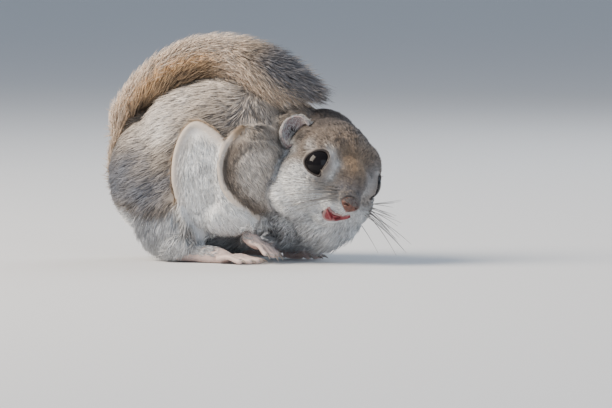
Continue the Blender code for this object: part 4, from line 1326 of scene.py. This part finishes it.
# Ears
# Thin rounded cups of skin, pinkish inside with painted shade in the hollow, furred on the back
# and along the rim. Each is the cup of its solid, rounded off and set into the side of the head.
EAR_ROOT = Vector((-7.0, 14.6, -0.2))
EAR_TIP = Vector((-9.5, 14.8, 12.4))
EAR_HOLLOW_SPOT = (298, 139)
EAR_TUFTS = 2600
ear_material = bare_material(
    "ear skin", (0.35, 0.26, 0.26, 1.0), (0.25, 0.19, 0.19, 1.0), 0.65, 700.0, 0.12
)
darkened_by_marking(ear_material, (0.022, 0.014, 0.014, 1.0))
ear_tree = BVHTree.FromObject(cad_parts["ear_r"], bpy.context.evaluated_depsgraph_get())
ear_hollow = mirror_head(np.array(seen_at(*EAR_HOLLOW_SPOT, (ear_tree,)))[None, :] / MM)[0]
for sign, suffix in ((1, "_l"), (-1, "_r")):
    ear = node_copy("ear" + suffix, "ear_cup" + suffix)
    modified(ear, "SUBSURF", levels=2)
    ear = joined("ear_cup" + suffix, [ear])
    unwrap(ear)
    ear_points = mirror_head(points_of(ear.data) / MM)
    height = ramp(ear_points[:, 2], 5.0, 11.5)
    opening = head_frame.to_3x3() @ Vector((0.6, 0.8 * sign, 0.0))
    facing = normals_of(ear.data) @ np.array(opening)
    inner = ramp(facing, 0.1, 0.5)
    # Painted shade in the ear's hollow, on its inner face
    hollow = near(ear_points, ear_hollow, 2.6) * inner
    ear_hollow_shade = np.zeros((len(ear_points), 4))
    ear_hollow_shade[:, 0] = np.clip(hollow * 1.6, 0.0, 1.0)
    store(ear.data, "marking", ear_hollow_shade)
    ear.data.materials.append(ear_material)
    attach(ear, "root")
    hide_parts("ear" + suffix)

    ear_fur = np.zeros((len(ear_points), 4))
    ear_fur[:, 2] = 0.30 + 0.15 * inner
    ear_fur[:, 3] = 0.30
    ear_run = mirrored_across(EAR_TIP, sign) - mirrored_across(EAR_ROOT, sign)
    ear_hair = {
        "length": 2.2 - 0.9 * inner - 0.4 * height,
        "lift": 0.3 + 0.15 * inner,
        "width": 0.16, "sunk": 0.15, "dark": 0.06, "gather": 0.3,
        "lie": np.array(head_frame.to_3x3() @ ear_run),
        "marking": ear_fur,
    }
    ear_chance = (1.0 - 0.6 * inner) * (1.0 - 0.9 * hollow)
    ear_coat = tuft_mesh("coat_ear" + suffix, tufts_on(ear.data, ear_chance, EAR_TUFTS, ear_hair))
    ear_coat.data.materials.append(back_fur)
    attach(ear_coat, "root")


# Feet and hands
# Bare pinkish feet with long toes, soft creases and a fine scatter of pale hairs on top. Sole or
# palm, wrist and toes are grown into one skin, and dark hooked claws sit in the ends of the toes.
foot_material = bare_material(
    "foot skin", (0.50, 0.36, 0.32, 1.0), (0.62, 0.50, 0.46, 1.0), 0.55, 600.0, 0.5
)
FOOT_VOXEL = 0.24
SOLE_GAP = 0.04
FOOT_TUFTS = 1500
TOE_RADIUS = 1.05
CLAW_LENGTH = 2.6
HIND_HEEL = Vector((-5.5, 21.0, 0.0))
HIND_SOLE = 20.0
HIND_TURN = 6.0
HIND_TOES = (9.0, 11.5, 12.5, 12.0, 9.5)
PALM_LENGTH = 3.5
HAND_FINGERS = (6.5, 8.0, 8.0, 6.5)
TOE_SPACING = 1.75
TOE_FAN, FINGER_FAN = 7.5, 11.0
FINGER_TO_TOE = 0.88
ANKLE_HEIGHT, WRIST_HEIGHT = 5.0, 3.6
HANDS = {
    "hand_r": (Vector((20.5, -18.6, 6.4)), -4.0, 24.0, Vector((19.5, -18.0, 16.0))),
    "hand_l": (Vector((26.0, 8.0, 0.0)), -6.0, 0.0, Vector((22.5, 11.5, 12.0))),
}
claw_material = bare_material(
    "claw horn", (0.10, 0.075, 0.06, 1.0), (0.34, 0.29, 0.25, 1.0), 0.35, 500.0, 0.15
)


def limb(name, stance, line, radii, roundness):
    """A strand along a line of places in a foot's or hand's own stance."""
    return tube(name, [stance @ Vector(place) for place in line], radii, roundness)


def toes(stance, fan, reach, lengths, radius):
    """Toes that arch up from a foot and come down flat, and their hooked claws."""
    flesh, claws = [], []
    for index, length in enumerate(lengths):
        spread = index - (len(lengths) - 1) / 2
        heading = Matrix.Rotation(math.radians(fan) * spread, 3, "Z") @ Vector((1.0, 0.0, 0.0))
        root = Vector((reach, spread * TOE_SPACING, 1.5))
        line = [
            root - heading * 2.2,
            root + Vector((0.0, 0.0, 0.3)),
            root + heading * length * 0.28 + Vector((0.0, 0.0, 0.9)),
            root + heading * length * 0.52 + Vector((0.0, 0.0, 0.55)),
            root + heading * length * 0.78 - Vector((0.0, 0.0, 0.45)),
            root + heading * length - Vector((0.0, 0.0, 0.55)),
            root + heading * (length + 0.7) - Vector((0.0, 0.0, 0.35)),
        ]
        thickness = [radius * k for k in (1.1, 1.0, 0.92, 1.0, 0.82, 1.08, 0.5)]
        flesh.append(limb("toe", stance, line, thickness, 3))
        horn = root + heading * length
        hook = [horn, horn + heading * CLAW_LENGTH * 0.55, horn + heading * CLAW_LENGTH]
        hook[0].z, hook[1].z, hook[2].z = 1.25, 1.45, 0.3
        claws.append(limb("claw", stance, hook, (0.48, 0.4, 0.07), 2))
    return flesh, claws


def turned(place, turn, tip):
    """The stance of a foot or hand: its place, its turn to the left and how its toes point down."""
    return (
        Matrix.Translation(place + ORIGIN)
        @ Matrix.Rotation(math.radians(turn), 4, "Z")
        @ Matrix.Rotation(math.radians(tip), 4, "Y")
    )


for node in ("foot_l", "foot_r", "hand_l", "hand_r"):
    if node.startswith("foot"):
        sign = 1 if node.endswith("_l") else -1
        stance = turned(mirrored_across(HIND_HEEL, sign), HIND_TURN * sign, 0.0)
        sole = [(-1.5, 0, 2.6), (0, 0, 2.9), (6, 0, 3.0), (12, 0, 2.7), (18, 0, 2.2), (21.5, 0, 1.6)]
        flesh = [limb("sole", stance, sole, (2.0, 3.1, 3.0, 2.9, 3.3, 1.7), 4)]
        shin = [(1.0, 0, 2.8), (2.0, 0, 6.0), (3.0, 0, 9.0)]
        flesh.append(limb("shin", stance, shin, (3.0, 3.2, 3.4), 4))
        digits, claws = toes(stance, TOE_FAN, HIND_SOLE, HIND_TOES, TOE_RADIUS)
        reach, rise = HIND_SOLE, ANKLE_HEIGHT
    else:
        place, turn, tip, wrist = HANDS[node]
        stance = turned(place, turn, tip)
        palm = [(-2.4, 0, 2.4), (0, 0, 2.3), (PALM_LENGTH, 0, 1.9), (PALM_LENGTH + 1.4, 0, 1.5)]
        flesh = [limb("palm", stance, palm, (1.9, 2.6, 2.9, 1.5), 4)]
        ankle = stance @ Vector((-0.6, 0.0, 2.4))
        wrist = wrist + ORIGIN
        arm = [ankle, (ankle + wrist) / 2, wrist]
        flesh.append(tube("forearm", arm, (2.1, 2.6, 3.4), 4))
        thinner = TOE_RADIUS * FINGER_TO_TOE
        digits, claws = toes(stance, FINGER_FAN, PALM_LENGTH, HAND_FINGERS, thinner)
        reach, rise = PALM_LENGTH, WRIST_HEIGHT
    foot = joined("bare_" + node, flesh + digits)
    modified(foot, "REMESH", mode="VOXEL", voxel_size=FOOT_VOXEL * MM)
    modified(foot, "SMOOTH", factor=0.5, iterations=4)
    foot_points = points_of(foot.data)
    foot_points[:, 2] = np.maximum(foot_points[:, 2], SOLE_GAP * MM)
    set_points(foot.data, foot_points)
    foot = joined("bare_" + node, [foot])
    unwrap(foot)
    foot.data.materials.append(foot_material)
    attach(foot, "root")
    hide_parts(node)
    horn = joined("claws_" + node, claws)
    horn.data.materials.append(claw_material)
    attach(horn, "root")

    from_stance = np.array(stance.inverted())
    placed = foot_points / MM @ from_stance[:3, :3].T + from_stance[:3, 3]
    behind = np.maximum(ramp(reach - placed[:, 0], 1.0, 9.0), ramp(placed[:, 2], rise, rise + 4.0))
    topside = ramp(normals_of(foot.data)[:, 2], -0.35, 0.35)
    high = ramp(placed[:, 2], rise + 1.0, rise + 5.0)
    foot_lie = np.array(stance.to_3x3() @ Vector((1.0, 0.0, -0.1)))
    foot_hair = {
        "length": 1.5 + 1.3 * behind + 1.4 * high,
        "width": 0.16 + 0.1 * behind,
        "lift": 0.22, "sunk": 0.12, "dark": 0.05, "gather": 0.5,
        "lie": foot_lie[None, :] + np.array((0.0, 0.0, -2.0))[None, :] * high[:, None],
        "marking": (0.0, 0.0, 0.45 if node.startswith("foot") else 0.25, 0.3),
    }
    foot_chance = np.maximum(topside, high) * (0.12 + 0.88 * behind)
    foot_coat = tuft_mesh("coat_" + node, tufts_on(foot.data, foot_chance, FOOT_TUFTS, foot_hair))
    foot_coat.data.materials.append(white_fur)
    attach(foot_coat, "root")


# Whiskers
# Long fine bristles from dark roots in the upper lip, fanned back over the cheek on the right
# and out past the nose on the left.
whisker_material = bare_material(
    "whisker", (0.02, 0.016, 0.014, 1.0), (0.45, 0.42, 0.39, 1.0), 0.4, 200.0, 0.0
)
WHISKER_SEED = 5
WHISKER_ROOTS = {"_r": (343.0, 187.0), "_l": (369.0, 204.0)}
WHISKER_TIPS = {"_r": (276.0, 178.0), "_l": (395.0, 206.0)}
WHISKER_TIP_STEPS = {"_r": (2.0, 8.0), "_l": (1.5, 12.0)}
WHISKER_COLUMN_STEP = {"_r": 3.0, "_l": 1.4}
WHISKER_LEFT_DEPTH = 20.0
WHISKER_ROWS, WHISKER_COLUMNS = 5, 4
WHISKER_ROW_STEP = 2.8
WHISKER_TAPER = (0.15, 0.12, 0.04)
whisker_dice = np.random.default_rng(WHISKER_SEED)
frame_step = camera.data.sensor_width / LENS * VIEW_DISTANCE / FRAME_WIDTH / MM


def past_face(root, across, down):
    """The place across and down from the root by these steps of the frame, level with the root."""
    return root + (view_right * across - view_up * down) * frame_step


for suffix in ("_l", "_r"):
    bristles = []
    (root_across, root_down), (far_across, far_down) = WHISKER_ROOTS[suffix], WHISKER_TIPS[suffix]
    step_across, step_down = WHISKER_TIP_STEPS[suffix]
    for row in range(WHISKER_ROWS):
        for column in range(WHISKER_COLUMNS):
            across = root_across - WHISKER_COLUMN_STEP[suffix] * column
            across += whisker_dice.normal(0.0, 0.6)
            down = root_down + WHISKER_ROW_STEP * row + whisker_dice.normal(0.0, 0.4)
            root = Vector(on_hide((across, down)))
            tip_across = far_across + step_across * column * 1.5 + whisker_dice.normal(0.0, 5.0)
            tip_down = far_down + step_down * row + whisker_dice.normal(0.0, 3.5)
            if suffix == "_r":
                tip = Vector(on_hide((tip_across, tip_down))) + view_back * 6.0
                half_way = ((across + tip_across) / 2, (down + tip_down) / 2 - 2.5)
                middle = Vector(on_hide(half_way)) + view_back * 6.5
            else:
                tip = past_face(root, tip_across - across, tip_down - down)
                tip -= view_back * WHISKER_LEFT_DEPTH
                middle = past_face(root, (tip_across - across) / 2, (tip_down - down) * 0.36)
                middle -= view_back * WHISKER_LEFT_DEPTH * 0.3
            line = (root - view_back * 0.4, middle, tip)
            bristles.append(tube("bristle", line, WHISKER_TAPER, 1))
    whiskers = joined("whiskers" + suffix, bristles)
    whiskers.data.materials.append(whisker_material)
    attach(whiskers, "root")
